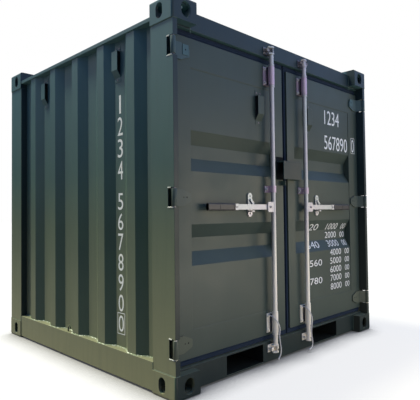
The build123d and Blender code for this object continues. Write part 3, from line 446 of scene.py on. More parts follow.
def moulded_rubber(name, rubber):
    """Extruded EPDM rubber: matt, near black, with a grey bloom of dust."""
    material, tree, place = new_finish(name)
    bloom = patches(tree, place, 60 * MM, (0.4, 0.7), (0.0, 0.3))
    colour = coats(tree, rubber, (bloom, linear(RUBBER_BLOOM)))
    skin = grain(tree, place, 4 * MM, 0.25, 0.4 * MM)
    surface = {"Base Color": colour, "Normal": skin}
    close_finish(tree, {"Roughness": 0.8, "IOR": 1.52, "Specular IOR Level": 0.12, **surface})
    return material


def moulded_plastic(name, plastic):
    """Injection-moulded ABS: black with a soft shine and a fine spark-eroded grain."""
    material, tree, place = new_finish(name)
    colour = coats(tree, plastic, (patches(tree, place, 30 * MM), linear(PLASTIC_SHADE)))
    skin = grain(tree, place, 2 * MM, 0.15, 0.2 * MM)
    close_finish(tree, {"Roughness": 0.42, "IOR": 1.46, "Base Color": colour, "Normal": skin})
    return material


def varnished_plywood(name, film):
    """Phenol-faced plywood: a satin brown film with the long grain of the wood along the deck."""
    material, tree, place = new_finish(name)
    along = add_node(tree, "Mapping", {"Vector": place, "Scale": (1.0, 0.06, 1.0)})
    lines = patches(tree, along, 12 * MM, (0.3, 0.7), detail=5.0)
    skin = add_node(tree, "Bump", {"Strength": 0.3, "Distance": 0.5 * MM, "Height": lines})
    colour = coats(tree, film, (lines, linear(PLYWOOD_GRAIN)))
    close_finish(tree, {"Roughness": 0.45, "Base Color": colour, "Normal": skin})
    return material


def polyester_rope(name, fibre):
    """Spun polyester rope: pale and matt, with the fibres of its strands as a fine grain."""
    material, tree, place = new_finish(name)
    colour = coats(tree, fibre, (patches(tree, place, 6 * MM), linear(ROPE_SHADE)))
    skin = grain(tree, place, 1.5 * MM, 0.15, 0.3 * MM)
    close_finish(tree, {"Roughness": 0.8, "Base Color": colour, "Normal": skin})
    return material


def stencil_paint(name, white):
    """White paint rolled through a stencil: flat, slightly thin in places so the green shows through."""
    material, tree, place = new_finish(name)
    thin = patches(tree, place, 14 * MM, (0.55, 0.8), (0.0, 0.35))
    close_finish(tree, {"Roughness": 0.55, "Base Color": coats(tree, white, (thin, linear(THIN_STENCIL)))})
    return material


def chipped_paint(name, paint, bare):
    """Paint on a weld or an edge: it is thin on the ripples, and what is under it shows in small chips."""
    material, tree, place = new_finish(name)
    chips = patches(tree, place, 11 * MM, (0.56, 0.62), detail=4.0)
    close_finish(tree, {"Roughness": 0.5, "Base Color": coats(tree, paint, (chips, bare))})
    return material


def build_materials(colours):
    """Every finish of the container, by name."""
    zinc, tint = colours.zinc, colours.zinc_tint
    paint, faded, dust_and_ground_light = colours.paint, colours.paint_faded, colours.dust_and_ground_light
    door, door_faded = colours.door_paint, colours.door_faded
    # Painted shade: the fork pockets are painted near black, as their insides lie in shade
    pocket = linear("#10161a")
    return {
        "frame_paint": painted_steel("frame_paint", paint, faded, dust_and_ground_light),
        "wall_paint": painted_steel("wall_paint", paint, faded, dust_and_ground_light),
        "door_paint": painted_steel("door_paint", door, door_faded, dust_and_ground_light),
        "blade_paint": painted_steel("blade_paint", door, door_faded, dust_and_ground_light),
        "pocket_shade_paint": painted_steel("pocket_shade_paint", pocket, pocket, dust_and_ground_light),
        "zinc": passivated_zinc("zinc_plate", zinc, tint, 0.0, 0.35),
        "tinted_zinc": passivated_zinc("tinted_zinc", zinc, tint, 0.6, 1.0),
        "dark_zinc": passivated_zinc("weathered_zinc", linear("#8b8a90"), linear("#6a6370"), 0.1, 0.8),
        "rubber": moulded_rubber("seal_rubber", colours.rubber),
        "plastic": moulded_plastic("grip_plastic", colours.grip),
        "plywood": varnished_plywood("deck_plywood", colours.plywood),
        "rope": polyester_rope("tie_rope", colours.rope),
        "number": stencil_paint("stencil_paint", colours.number),
        "weld": chipped_paint("painted_weld", paint, faded),
        "ledge_seal": chipped_paint("ledge_weld", linear("#7d8a72"), linear("#dfe5da")),
        "bare_edge": chipped_paint("bare_edge", linear("#d9dcd8"), linear("#8f9791")),
        "painted_shade_black": moulded_rubber("painted_shade_black", colours.painted_shade_black),
    }


def add_object(name, data):
    """A new object in the scene that shows the data."""
    item = bpy.data.objects.new(name, data)
    bpy.context.scene.collection.objects.link(item)
    return item


def mesh_of(curve):
    """The mesh that Blender makes of a curve or of a text."""
    holder = add_object(curve.name, curve)
    mesh = bpy.data.meshes.new_from_object(holder)
    bpy.data.objects.remove(holder)
    return mesh


def new_piece(name, fill, finish, body, slot, *values):
    """A mesh piece made by a function that fills a bmesh from the values, hung on its body."""
    mesh = bpy.data.meshes.new(name)
    shape = bmesh.new()
    fill(shape, *values)
    bmesh.ops.recalc_face_normals(shape, faces=shape.faces)
    shape.to_mesh(mesh)
    shape.free()
    for face in mesh.polygons:
        face.use_smooth = True
    mesh.set_sharp_from_angle(angle=math.radians(35))
    mesh.materials.append(MATERIALS[finish])
    piece = add_object(name, mesh)
    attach(piece, body)
    return piece


def mirror_of(points, sign):
    """Points of the left side, or their mirror on the right side."""
    return [Vector((point[0] * sign, point[1], point[2])) for point in points]


def ring(shape, centre, first, second, radius, sides, start=0.0):
    """A ring of points about a centre, in the plane of two directions."""
    angles = [2 * math.pi * (i + start) / sides for i in range(sides)]
    return [shape.verts.new(centre + (first * math.cos(a) + second * math.sin(a)) * radius) for a in angles]


def skin_over(shape, rings):
    """Faces from each ring of points to the next, closed at both ends."""
    for low, high in zip(rings, rings[1:]):
        for i in range(len(low)):
            shape.faces.new((low[i - 1], low[i], high[i], high[i - 1]))
    shape.faces.new(rings[0][::-1])
    shape.faces.new(rings[-1])


def turned(shape, centre, axis, profile, sides=24):
    """A turned form, closed at both ends; the profile gives distances along the axis and radii."""
    axis = Vector(axis)
    helper = UP if abs(axis.z) < 0.9 else RIGHT
    first = axis.cross(helper).normalized()
    second = axis.cross(first).normalized()
    spots = [(Vector(centre) + axis * along, radius) for along, radius in profile]
    skin_over(shape, [ring(shape, spot, first, second, radius, sides, 0.5) for spot, radius in spots])


def hex_bolt(shape, seat, axis, across, height):
    """A washer and a chamfered hexagon head on a seat."""
    washer = 1.6 * MM
    corner = across / math.sqrt(3)
    turned(shape, seat, axis, [(0, across * 0.85), (washer, across * 0.85)])
    head = [(washer, corner), (washer + height * 0.8, corner), (washer + height, corner * 0.86)]
    turned(shape, seat, axis, head, 6)


def round_head(shape, seat, axis, radius, height):
    """A domed head, as of a rivet or a coach bolt."""
    dome = [(0, 1.0), (0.35, 0.97), (0.75, 0.7), (1.0, 0.3)]
    turned(shape, seat, axis, [(height * up, radius * out) for up, out in dome], 16)


def plate(shape, corner, opposite):
    """A plate between two opposite corners."""
    low = Vector(map(min, corner, opposite))
    high = Vector(map(max, corner, opposite))
    spots = [(x, y, z) for x in (low.x, high.x) for y in (low.y, high.y) for z in (low.z, high.z)]
    v = [shape.verts.new(spot) for spot in spots]
    for face in ((0, 1, 3, 2), (4, 6, 7, 5), (0, 4, 5, 1), (2, 3, 7, 6), (0, 2, 6, 4), (1, 5, 7, 3)):
        shape.faces.new([v[i] for i in face])


def bead(shape, path, normal, width, rise, step, seed):
    """A weld bead along a path on a face, with ripples and slight changes of width."""
    chance = random.Random(seed)
    normal = Vector(normal).normalized()
    root = normal * 0.3 * MM
    stations = []
    for start, end in zip(path, path[1:]):
        start, end = Vector(start), Vector(end)
        count = max(2, round((end - start).length / step))
        stations += [(start.lerp(end, i / count), (end - start).normalized()) for i in range(count)]
    stations.append((Vector(path[-1]), stations[-1][1]))
    rings = []
    for number, (spot, along) in enumerate(stations):
        swell = (1.0 if number % 2 else 0.82) * chance.uniform(0.9, 1.1)
        half = along.cross(normal) * width / 2 * swell
        crown = [
            spot - half * math.cos(angle) + normal * math.sin(angle) * rise * swell
            for angle in (math.pi / 4, math.pi / 2, math.pi * 3 / 4)
        ]
        rings.append([shape.verts.new(point) for point in (spot - root - half, *crown, spot - root + half)])
    skin_over(shape, rings)


def pressed_line(start, end, centres, flat, slope, outside, inside):
    """Stations and depths of a pressed sheet: each pressing has a flat with a slope on both sides."""
    line = [(start, outside)]
    for centre in centres:
        near, far = flat / 2, flat / 2 + slope
        for away, depth in ((-far, outside), (-near, inside), (near, inside), (far, outside)):
            line.append((centre + away, depth))
    line.append((end, outside))
    return line


PANEL_MIDDLE = (PANEL_LOW.z + PANEL_HIGH.z) / 2
RECESS_LEVELS = (PANEL_MIDDLE - RECESS_SPACING / 2, PANEL_MIDDLE + RECESS_SPACING / 2)
PANEL_FOLDS = pressed_line(
    PANEL_LOW.z, PANEL_HIGH.z, RECESS_LEVELS, RECESS_FLAT, RECESS_SLOPE, 0.0, RECESS_DEPTH
)


def panel_depth(height):
    """How far behind its front face the door panel lies at a height."""
    for (low, near), (high, far) in zip(PANEL_FOLDS, PANEL_FOLDS[1:]):
        if low <= height <= high:
            return near + (far - near) * (height - low) / (high - low)
    return 0.0


class CONTAINER_OT_stage(bpy.types.Operator):
    """Set the camera, the soft lamps, the world and the floor"""

    bl_idname = "container.stage"
    bl_label = "Stage"

    def execute(self, context):
        self.add_camera(context)
        self.add_lamps()
        self.add_cards()
        self.add_world(context)
        self.add_floor(context)
        context.scene.view_settings.view_transform = "Standard"
        return {"FINISHED"}

    def add_camera(self, context):
        """The camera of the photograph, by its place, its three turns and its lens."""
        camera_data = bpy.data.cameras.new("camera")
        camera_data.lens = CAMERA_LENS
        camera_data.sensor_width = CAMERA_SENSOR
        camera_data.clip_end = CAMERA_FAR_END
        camera = add_object("camera", camera_data)
        yaw, pitch, roll = (math.radians(a) for a in (CAMERA_YAW, CAMERA_PITCH, CAMERA_ROLL))
        ahead = Vector((math.sin(yaw) * math.cos(pitch), math.cos(yaw) * math.cos(pitch), math.sin(pitch)))
        aside = Vector((math.cos(yaw), -math.sin(yaw), 0.0))
        above = aside.cross(ahead)
        right = aside * math.cos(roll) + above * math.sin(roll)
        up = above * math.cos(roll) - aside * math.sin(roll)
        turn = Matrix((right, up, -ahead)).transposed().to_4x4()
        camera.matrix_world = Matrix.Translation(CAMERA_PLACE) @ turn
        context.scene.camera = camera

    def add_lamps(self):
        """A warm key lamp high behind the left wall and two large soft ones before the doors."""
        for name, kind, way, size, power, colour in LAMPS:
            data = bpy.data.lights.new(name, kind)
            if kind == "SUN":
                data.angle = size
            else:
                data.size = size
            data.energy = power
            data.color = linear(colour)[:3]
            lamp = add_object(name, data)
            way = Vector(way).normalized()
            lamp.location = LAMP_TARGET + way * LAMP_DISTANCE
            lamp.rotation_euler = way.to_track_quat("Z", "Y").to_euler()

    def new_sheet(self, name, corners, material):
        """One flat face of the stage."""
        mesh = bpy.data.meshes.new(name)
        mesh.from_pydata(corners, [], [(0, 1, 2, 3)])
        mesh.materials.append(material)
        return add_object(name, mesh)

    def add_cards(self):
        """Dark and pale cards about the object, which the camera does not see and which cast no shadow."""
        for name, start, end, low, high, colour, strength in STUDIO_CARDS:
            material = bpy.data.materials.new(name)
            tree = empty_tree(material)
            glow = add_node(tree, "Emission", {"Color": linear(colour), "Strength": strength})
            add_node(tree, "OutputMaterial", [glow])
            corners = [(*start, low), (*end, low), (*end, high), (*start, high)]
            card = self.new_sheet(name, corners, material)
            card.visible_camera = False
            card.visible_shadow = False

    def add_world(self, context):
        """White behind the object and in reflections, and a weaker cool light on everything."""
        world = bpy.data.worlds.new("studio")
        tree = empty_tree(world)
        rays = add_node(tree, "LightPath").outputs
        seen = rays["Is Camera Ray"]
        for kind in ("Is Transmission Ray", "Is Glossy Ray"):
            seen = add_node(tree, "Math", [seen, rays[kind]], operation="MAXIMUM")
        ambient = add_node(tree, "Background", {"Color": linear(WORLD_TINT), "Strength": WORLD_POWER})
        white = add_node(tree, "Background", {"Color": linear("#ffffff"), "Strength": 1.0})
        add_node(tree, "OutputWorld", [add_node(tree, "MixShader", [seen, ambient, white])])
        context.scene.world = world

    def add_floor(self, context):
        """A wide floor that a camera sees as white, with the object's shadow on it."""
        material = bpy.data.materials.new("studio_floor")
        tree = empty_tree(material)
        rays = add_node(tree, "LightPath").outputs
        matt = add_node(tree, "BsdfDiffuse", {"Color": linear(FLOOR_BOUNCE)})
        pale = add_node(tree, "BsdfDiffuse", {"Color": linear(FLOOR_SHADE)})
        # The glow fades close to the object, where the contact shadow lies.
        inputs = {"Distance": CONTACT_SHADOW_REACH}
        open_sky = add_node(tree, "AmbientOcclusion", inputs, samples=8).outputs["AO"]
        strength = add_node(tree, "MapRange", [open_sky, 0.45, 0.85, *FLOOR_GLOW])
        colours = context.scene.container_colours
        glow = add_node(tree, "Emission", {"Color": colours.floor, "Strength": strength})
        both = add_node(tree, "AddShader", [pale, glow])
        mix = add_node(tree, "MixShader", [rays["Is Camera Ray"], matt, both])
        add_node(tree, "OutputMaterial", [mix])
        far = FLOOR_REACH
        corners = [(-far, -far, 0), (far, -far, 0), (far, far, 0), (-far, far, 0)]
        floor = self.new_sheet("studio_floor", corners, material)


class CONTAINER_OT_ropes(bpy.types.Operator):
    """Lay the two tie ropes over the lower rod bearings"""

    bl_idname = "container.ropes"
    bl_label = "Tie ropes"

    def execute(self, context):
        sizes = context.scene.container_sizes
        for side, route in (("left", LEFT_ROPE), ("right", RIGHT_ROPE)):
            centreline = self.centreline(route)
            values = (centreline, sizes)
            piece = new_piece(f"{side}_rope", self.strands, "rope", f"{side}_door", "rope_fibre", *values)
            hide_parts(f"{side}_tie_rope")
        return {"FINISHED"}

    def centreline(self, route):
        """Points of the smooth line that has the route as its control points."""
        curve = bpy.data.curves.new("route", "CURVE")
        curve.dimensions = "3D"
        curve.resolution_u = 32
        spline = curve.splines.new("NURBS")
        spline.points.add(len(route) - 1)
        for point, spot in zip(spline.points, route):
            point.co = (*spot, 1.0)
        spline.order_u = 3
        spline.use_endpoint_u = True
        mesh = mesh_of(curve)
        points = [vertex.co.copy() for vertex in mesh.vertices]
        bpy.data.meshes.remove(mesh)
        return points

    def strands(self, shape, centreline, sizes):
        """Three round strands twisted about the centreline, each closed at its ends."""
        strand = sizes.rope_diameter / 2 / (1 + 2 / math.sqrt(3))
        offset = strand * 2 / math.sqrt(3)
        for number in range(3):
            rings = []
            travelled = 0.0
            first = RIGHT
            for i, spot in enumerate(centreline):
                before = centreline[max(i - 1, 0)]
                after = centreline[min(i + 1, len(centreline) - 1)]
                along = (after - before).normalized()
                first = (first - along * first.dot(along)).normalized()
                second = along.cross(first)
                travelled += (spot - before).length
                phase = 2 * math.pi * (travelled / sizes.rope_lay + number / 3)
                middle = spot + (first * math.cos(phase) + second * math.sin(phase)) * offset
                rings.append(ring(shape, middle, first, second, strand, STRAND_SIDES))
            skin_over(shape, rings)


class CONTAINER_OT_finishes(bpy.types.Operator):
    """Give each fixed solid its finish and soften its edges"""

    bl_idname = "container.finishes"
    bl_label = "Finishes"

    def execute(self, context):
        radius = context.scene.container_sizes.edge_radius
        for name, node in frame["nodes"].items():
            finish = next(finish for word, finish in NODE_FINISHES if word in name)
            node.data.materials.clear()
            node.data.materials.append(MATERIALS[finish])
            if finish in ("frame_paint", "door_paint", "blade_paint") and "tie" not in name:
                self.soften(node, radius)
        return {"FINISHED"}

    def soften(self, node, radius):
        """Join the solid's faces along their edges, and round the sharp ones."""
        weld = node.modifiers.new("join", "WELD")
        weld.merge_threshold = 0.02 * MM
        bevel = node.modifiers.new("edge", "BEVEL")
        bevel.width = radius
        bevel.segments = 2
        bevel.limit_method = "ANGLE"
        bevel.angle_limit = math.radians(40)
        bevel.harden_normals = True


class CONTAINER_OT_bolts(bpy.types.Operator):
    """Add the bolts, screws and rivets of the doors' gear, its plastic trim and the top hinges' plates"""

    bl_idname = "container.bolts"
    bl_label = "Bolts and rivets"

    def execute(self, context):
        pieces = (
            ("bearing_bolts", self.bearing_bolts, "zinc", "door", "galvanised"),
            ("bearing_liners", self.liners_and_shade, "plastic", "door", "grip_plastic"),
            ("hinge_plate", self.hinge_plate, "wall_paint", "door", "door_paint"),
            ("hinge_screws", self.hinge_screws, "painted_shade_black", "door", "door_paint"),
            ("hub_bolt", self.hub_bolt, "dark_zinc", "rod", "galvanised"),
            ("ferrule_rivets", self.rivets, "dark_zinc", "handle", "galvanised"),
            ("grip_collars", self.collars, "plastic", "handle", "grip_plastic"),
        )
        for side, sign in SIDES:
            for name, fill, finish, body, slot in pieces:
                new_piece(f"{side}_{name}", fill, finish, f"{side}_{body}", slot, sign)
        return {"FINISHED"}

    def bearing_bolts(self, shape, sign):
        """Four bolts on each tall bearing and two on the guide."""
        sizes = bpy.context.scene.container_sizes
        face = DOOR_FACE - BEARING_PLATE
        spread = (-BEARING_BOLT_SPREAD, BEARING_BOLT_SPREAD)
        levels = [level + rise for level in BEARING_LEVELS for rise in spread]
        for level in (*levels, GUIDE_BOLT_LEVEL):
            for aside in (-BEARING_BOLT_ASIDE, BEARING_BOLT_ASIDE):
                seat = ((ROD.x + aside) * sign, face, level)
                hex_bolt(shape, seat, TO_FRONT, sizes.bolt_across, sizes.bolt_height)

    def liners_and_shade(self, shape, sign):
        """Black plastic strips on both sides of each bearing's neck: nylon liners, which also paint the
        shade in the gap between the flange and the nose.
        """
        thickness = 2 * MM
        back, front = DOOR_FACE - BEARING_PLATE, ROD.y + 15 * MM
        half = BEARING_HALF_HEIGHT - 2 * MM
        for level in BEARING_LEVELS:
            for aside in (-BEARING_NECK / 2, BEARING_NECK / 2):
                inner = ROD.x + aside
                outer = inner + math.copysign(thickness, aside)
                plate(shape, (inner * sign, front, level - half), (outer * sign, back, level + half))

    def hinge_plate(self, shape, sign):
        """A raised plate on the top hinge's tongue."""
        half_width, half_height = 20 * MM, 27 * MM
        x, level = HINGE_SCREW_X * sign, HINGE_LEVELS[0] + HINGE_PLATE_RISE
        low = (x - half_width, HINGE_FACE - HINGE_PLATE, level - half_height)
        plate(shape, low, (x + half_width, HINGE_FACE, level + half_height))

    def hinge_screws(self, shape, sign):
        """One screw in the top hinge's plate and two on each lower tongue; their black heads paint the
        shade of the screw holes.
        """
        height = 1.5 * MM
        top, *lower = HINGE_LEVELS
        seat = (HINGE_SCREW_X * sign, HINGE_FACE - HINGE_PLATE, top + HINGE_PLATE_RISE)
        round_head(shape, seat, TO_FRONT, 4 * MM, height)
        for level in lower:
            for aside, radius in ((2 * MM, 4 * MM), (-20 * MM, 3 * MM)):
                seat = ((HINGE_SCREW_X + aside) * sign, HINGE_FACE, level + 3 * MM)
                round_head(shape, seat, TO_FRONT, radius, height)

    def hub_bolt(self, shape, sign):
        """The round end of the bolt on which the handle pivots."""
        round_head(shape, (HANDLE_PIVOT.x * sign, HUB_FACE, HANDLE_LEVEL), TO_FRONT, 4.5 * MM, 2 * MM)

    def rivets(self, shape, sign):
        """Two rivets that hold the grip's tang in the ferrule."""
        for along in (8 * MM, 19 * MM):
            seat = ((BAR_LOW.x + along) * sign, BAR_LOW.y, HANDLE_LEVEL)
            round_head(shape, seat, TO_FRONT, 4 * MM, 2 * MM)

    def collars(self, shape, sign):
        """An end cap and two collars moulded on the grip, with open corners."""
        bulge, corner = 1.2 * MM, 6 * MM
        for start, end in ((0.0, 9 * MM), (88 * MM, 94 * MM), (196 * MM, 205 * MM)):
            for out, up in ((bulge, -corner), (-corner, bulge)):
                low = (sign * (GRIP_LOW.x + start), GRIP_LOW.y - out, GRIP_LOW.z - up)
                plate(shape, low, (sign * (GRIP_LOW.x + end), GRIP_HIGH.y + out, GRIP_HIGH.z + up))


class CONTAINER_OT_welds(bpy.types.Operator):
    """Run weld beads along the joints of the plates"""

    bl_idname = "container.welds"
    bl_label = "Welds"

    def execute(self, context):
        pieces = (
            ("panel_weld", self.panel_lines(), "door_paint", "{}_door", "door_paint"),
            ("post_weld", self.post_lines(), "weld", "frame", "frame_paint"),
            ("cut_edges", self.cut_edges(), "bare_edge", "frame", "frame_paint"),
        )
        for side, sign in SIDES:
            for name, lines, finish, body, slot in pieces:
                new_piece(f"{side}_{name}", self.beads, finish, body.format(side), slot, lines, sign)
            new_piece(f"{side}_ledge_weld", self.ledge, "ledge_seal", "frame", "frame_paint", sign)
        return {"FINISHED"}

    def beads(self, shape, lines, sign):
        """A bead along each line, which is a path and the way that its face looks."""
        sizes = bpy.context.scene.container_sizes
        profile = (sizes.weld_width, sizes.weld_rise, sizes.weld_step)
        for seed, (path, normal) in enumerate(lines):
            bead(shape, mirror_of(path, sign), mirror_of([normal], sign)[0], *profile, seed)

    def panel_lines(self):
        """Under and over the panel, inside the leaf's frame."""
        left, right, y = PANEL_LOW.x, PANEL_HIGH.x, PANEL_FACE
        low, high = PANEL_LOW.z, PANEL_HIGH.z
        return [
            ([(left, y, low), (right, y, low)], TO_FRONT),
            ([(right, y, high), (left, y, high)], TO_FRONT),
        ]

    def cut_edges(self):
        """Bright metal where the paint has flaked off the hinge openings' edges."""
        side, front = POST_LOW.x, POST_LOW.y
        lines = []
        for level in HINGE_LEVELS:
            for start, z in ((6 * MM, level - HINGE_CUT_HALF), (26 * MM, level + HINGE_CUT_HALF)):
                lines.append(([(side, front + start, z), (side, front + 47 * MM, z)], TO_LEFT))
        return lines

    def post_lines(self):
        """Where the castings meet the posts, the header, the sill and the rails."""
        side, front, back = POST_LOW.x, POST_LOW.y, POST_HIGH.y
        lines = []
        for z in (CASTING_HEIGHT, TOP_CASTING_LOW.z):
            lines.append(([(side, front, z), (side, back, z)], TO_LEFT))
            lines.append(([(side, front, z), (side + 30 * MM, front, z)], TO_FRONT))
            lines.append(([(side, -back, z), (side, -front, z)], TO_LEFT))
        inner, y = CASTING_LOW.x + CASTING_WIDTH, HEADER_LOW.y
        for low, high in ((HEADER_LOW.z + 30 * MM, HEADER_HIGH.z), (SILL_LOW.z, CASTING_HEIGHT)):
            lines.append(([(inner, y, low), (inner, y, high)], TO_FRONT))
        for y in (back, -back):
            for low, high in ((RAIL_LOW.z, RAIL_HIGH.z), (TOP_RAIL_LOW.z, TOP_RAIL_HIGH.z)):
                lines.append(([(side, y, low), (side, y, high)], TO_LEFT))
        return lines

    def ledge(self, shape, sign):
        """The wavy bead where the corrugated wall stands on the bottom rail."""
        half = (WALL_HIGH.y - WALL_LOW.y) / 2
        ridges = [(i - (SIDE_RIDGES - 1) / 2) * WAVE_PITCH for i in range(SIDE_RIDGES)]
        line = pressed_line(-half, half, ridges, WAVE_FLAT, WAVE_SLOPE, WAVE_DEPTH, 0.0)
        face = WALL_LOW.x - 2 * MM
        path = [(sign * (face + depth), station, RAIL_HIGH.z) for station, depth in line]
        bead(shape, path, UP, 9 * MM, 4 * MM, 9 * MM, 3)


class CONTAINER_OT_vents(bpy.types.Operator):
    """Put a black core inside the vents, as painted shade, and screws on their tabs"""

    bl_idname = "container.vents"
    bl_label = "Vent gauze and screws"

    def execute(self, context):
        for side, sign in SIDES:
            middle = (VENT_LOW.x + VENT_HIGH.x) / 2
            heads = [Vector((middle * sign, PANEL_FACE, VENT_HIGH.z))]
            self.add(f"{side}_door_vent", heads, RIGHT, TO_FRONT, f"{side}_door", "door_paint")
            face = (WALL_LOW.x + WAVE_DEPTH) * sign
            heads = [Vector((face, y, WALL_VENT_HIGH.z)) for y in WALL_VENT_PLACES]
            self.add(f"{side}_wall_vent", heads, -TO_FRONT, TO_LEFT * sign, "frame", "wall_paint")
        return {"FINISHED"}

    def add(self, name, heads, across, out, body, slot):
        """The black core of painted shade and the screws of the vents whose heads, width and depth lie as
        given.
        """
        new_piece(f"{name}_gauze", self.shade_core, "painted_shade_black", body, slot, heads, across, out)
        new_piece(f"{name}_screws", self.screws, "dark_zinc", body, slot, heads, across, out)

    def shade_core(self, shape, heads, across, out):
        """A black core that fills the cover, a little short of its open sides: painted shade for the vent's
        dark inside.
        """
        skin = VENT_SHEET * 1.1
        side = VENT_WIDTH / 2 - 1.5 * MM
        outline = (
            (skin, VENT_HEAD_TAB + skin),
            (VENT_DEPTH - skin, VENT_HEAD_TAB + skin),
            (VENT_DEPTH - skin, VENT_FRONT_FOOT - 1 * MM),
            (skin, VENT_SLOPE_FOOT - 5 * MM),
        )
        for head in heads:
            ends = []
            for corner in (head - across * side, head + across * side):
                ends.append([shape.verts.new(corner + out * deep - UP * drop) for deep, drop in outline])
            skin_over(shape, ends)

    def screws(self, shape, heads, across, out):
        """Two screws on the head tab and one on the foot tab."""
        for head in heads:
            for aside, drop in ((-17 * MM, 19 * MM), (17 * MM, 19 * MM), (0, VENT_SLOPE_FOOT + 13 * MM)):
                seat = head + across * aside + out * VENT_SHEET - UP * drop
                round_head(shape, seat, out, 5.5 * MM, 3 * MM)


class CONTAINER_OT_seals(bpy.types.Operator):
    """Add the lips of the door seals and the black pad of painted shade behind the lock box"""

    bl_idname = "container.seals"
    bl_label = "Seal lips"

    def execute(self, context):
        for side, sign in SIDES:
            new_piece(f"{side}_seal_lips", self.lips, "rubber", f"{side}_door", "seal_rubber", sign)
        new_piece("lock_shade_pad", self.pad, "painted_shade_black", "left_door", "seal_rubber")
        return {"FINISHED"}

    def pad(self, shape):
        """A black rubber pad on the left leaf, behind the lock box's open end: painted shade for the box's
        dark inside.
        """
        thickness = 2 * MM
        low = (-94 * MM, DOOR_FACE - thickness, LOCK_BOX_LOW.z)
        plate(shape, low, (LEAF_HIGH.x - 2 * MM, DOOR_FACE, LOCK_BOX_HIGH.z + 29 * MM))

    def lips(self, shape, sign):
        """A low ridge along the middle of the band over the leaf, under it and down the meeting edge."""
        outer, y = SEAL_LOW.x, SEAL_LOW.y
        top = (LEAF_HIGH.z + SEAL_HIGH.z) / 2
        foot = (LEAF_LOW.z + SEAL_LOW.z) / 2
        inner = (LEAF_HIGH.x + SEAL_HIGH.x) / 2
        paths = (
            [(outer, y, top), (inner, y, top)],
            [(outer, y, foot), (inner, y, foot)],
            [(inner, y, foot), (inner, y, top)],
        )
        for path in paths:
            bead(shape, mirror_of(path, sign), TO_FRONT, 14 * MM, 3 * MM, 120 * MM, 5)


class CONTAINER_OT_numbers(bpy.types.Operator):
    """Paint plain counting numbers where the marks stand"""

    bl_idname = "container.numbers"
    bl_label = "Numbers"

    def execute(self, context):
        sizes = context.scene.container_sizes
        new_piece("wall_numbers", self.wall_numbers, "number", "frame", "wall_paint", sizes)
        new_piece("door_numbers", self.door_numbers, "number", "right_door", "door_paint", sizes)
        return {"FINISHED"}

    def stencil(self, shape, text, corner, right, width, height):
        """Flat upright figures that fill a rectangle from its lower left corner."""
        curve = bpy.data.curves.new("figures", "FONT")
        curve.body = text
        curve.resolution_u = 4
        mesh = mesh_of(curve)
        xs = [vertex.co.x for vertex in mesh.vertices]
        ys = [vertex.co.y for vertex in mesh.vertices]
        spots = []
        for x, y in zip(xs, ys):
            along = (x - min(xs)) / (max(xs) - min(xs)) * width
            rise = (y - min(ys)) / (max(ys) - min(ys)) * height
            spots.append(shape.verts.new(Vector(corner) + right * along + UP * rise))
        for face in mesh.polygons:
            shape.faces.new([spots[i] for i in face.vertices])
        bpy.data.meshes.remove(mesh)

    def outline(self, shape, corner, right, width, height, line):
        """A thin square frame about a figure."""
        corner = Vector(corner)
        across, rise = right * width, UP * height
        outer = [corner, corner + across, corner + across + rise, corner + rise]
        inward = [right + UP, UP - right, -right - UP, right - UP]
        rim = [shape.verts.new(spot) for spot in outer]
        hole = [shape.verts.new(spot + step * line) for spot, step in zip(outer, inward)]
        for i in range(4):
            shape.faces.new((rim[i - 1], rim[i], hole[i], hole[i - 1]))

    def wall_numbers(self, shape, sizes):
        """A column of figures in the recess behind the first ridge but one, with a frame about the last."""
        x = WALL_LOW.x + WAVE_DEPTH - PAINT_LIFT
        middle = -1.5 * WAVE_PITCH
        width = WALL_FIGURE_WIDTH
        for text, top, step, share in WALL_FIGURES:
            height = sizes.wall_number_height * share
            for i, figure in enumerate(text):
                own = width * NARROW_ONE if figure == "1" else width
                corner = (x, middle + own / 2, top - step * i - height)
                self.stencil(shape, figure, corner, TO_FRONT, own, height)
        self.stencil(shape, "0", (x, middle + width / 2, 0.240), TO_FRONT, width, 90 * MM)
        self.outline(shape, (x, middle + 36 * MM, 0.226), TO_FRONT, 72 * MM, 118 * MM, 4 * MM)

    def door_numbers(self, shape, sizes):
        """Two large rows with a framed figure, and a table of small ones on the panel's folds."""
        height = sizes.door_number_height
        for text, x, low, width in DOOR_FIGURES:
            self.stencil(shape, text, (x, PANEL_FACE - PAINT_LIFT, low), RIGHT, width, height)
        y = DOOR_FACE - PAINT_LIFT
        self.stencil(shape, "0", (0.850, y, 1.343), RIGHT, 0.038, height * 0.98)
        self.outline(shape, (0.841, y, 1.334), RIGHT, 0.057, 0.118, 3 * MM)
        rows = self.table(sizes.table_number_height)
        copies = {}
        for vertex in rows.verts:
            depth = panel_depth(vertex.co.z) - TABLE_PAINT_LIFT
            copies[vertex] = shape.verts.new(vertex.co - TO_FRONT * depth)
        for patch in rows.faces:
            shape.faces.new([copies[vertex] for vertex in patch.verts])
        rows.free()

    def table(self, height):
        """The rows of small numbers as flat faces, cut where the panel's sheet folds."""
        rows = bmesh.new()
        y = PANEL_FACE - PAINT_LIFT
        for row in range(TABLE_ROWS):
            low = TABLE_TOP - row * TABLE_STEP
            self.stencil(rows, f"{row + 1}000", (0.520, y, low), RIGHT, 0.150, height)
            self.stencil(rows, "00", (0.722, y, low), RIGHT, 0.062, height * 0.9)
            if row % 2 == 0:
                self.stencil(rows, f"{row + 1}{row + 2}0", (0.262, y, low), RIGHT, 0.150, height)
        for level, _ in PANEL_FOLDS:
            parts = rows.verts[:] + rows.edges[:] + rows.faces[:]
            bmesh.ops.bisect_plane(rows, geom=parts, plane_co=(0, 0, level), plane_no=UP)
        return rows


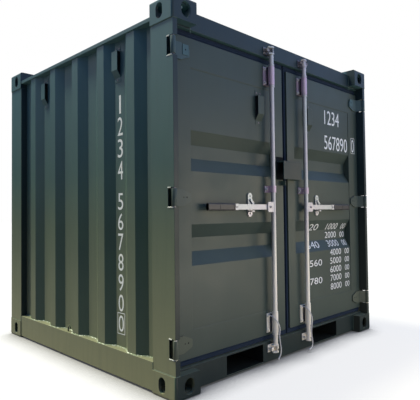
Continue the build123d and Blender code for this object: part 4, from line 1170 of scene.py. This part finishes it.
class CONTAINER_OT_deck(bpy.types.Operator):
    """Add the screws of the plywood deck"""

    bl_idname = "container.deck"
    bl_label = "Deck screws"

    def execute(self, context):
        new_piece("deck_screws", self.screws, "dark_zinc", "frame", "galvanised")
        return {"FINISHED"}

    def screws(self, shape):
        """Four rows of thirteen screws over the cross members."""
        rows, columns, margin = 4, 13, 60 * MM
        row_step = (WALL_HIGH.y - WALL_LOW.y) / rows
        column_step = (DECK_HIGH.x - DECK_LOW.x - 2 * margin) / (columns - 1)
        for row in range(rows):
            y = WALL_LOW.y + (row + 0.5) * row_step + 20 * MM
            for column in range(columns):
                seat = (DECK_LOW.x + margin + column * column_step, y, DECK_HIGH.z)
                round_head(shape, seat, UP, 6 * MM, 1.5 * MM)


class CONTAINER_PT_panel(bpy.types.Panel):
    """The container's steps, sizes and colours"""

    bl_idname = "CONTAINER_PT_panel"
    bl_label = "Container"
    bl_space_type = "VIEW_3D"
    bl_region_type = "UI"
    bl_category = "Container"

    def draw(self, context):
        for step in STEPS:
            self.layout.operator(step.bl_idname)
        for group in (context.scene.container_sizes, context.scene.container_colours):
            for name in group.bl_rna.properties.keys():
                if name not in ("rna_type", "name"):
                    self.layout.prop(group, name)


STEPS = (
    CONTAINER_OT_stage,
    CONTAINER_OT_ropes,
    CONTAINER_OT_finishes,
    CONTAINER_OT_bolts,
    CONTAINER_OT_welds,
    CONTAINER_OT_vents,
    CONTAINER_OT_seals,
    CONTAINER_OT_numbers,
    CONTAINER_OT_deck,
)
CLASSES = (ContainerSizes, ContainerColours, *STEPS, CONTAINER_PT_panel)


def register():
    """Make the properties, the steps and the panel known to Blender."""
    for cls in CLASSES:
        bpy.utils.register_class(cls)
    bpy.types.Scene.container_sizes = bpy.props.PointerProperty(type=ContainerSizes)
    bpy.types.Scene.container_colours = bpy.props.PointerProperty(type=ContainerColours)


def unregister():
    """Take them out again."""
    del bpy.types.Scene.container_colours
    del bpy.types.Scene.container_sizes
    for cls in reversed(CLASSES):
        bpy.utils.unregister_class(cls)


def main():
    """Run every step."""
    register()
    MATERIALS.update(build_materials(bpy.context.scene.container_colours))
    bpy.ops.container.stage()
    bpy.ops.container.ropes()
    bpy.ops.container.finishes()
    bpy.ops.container.bolts()
    bpy.ops.container.welds()
    bpy.ops.container.vents()
    bpy.ops.container.seals()
    bpy.ops.container.numbers()
    bpy.ops.container.deck()


if __name__ == "__main__":
    main()
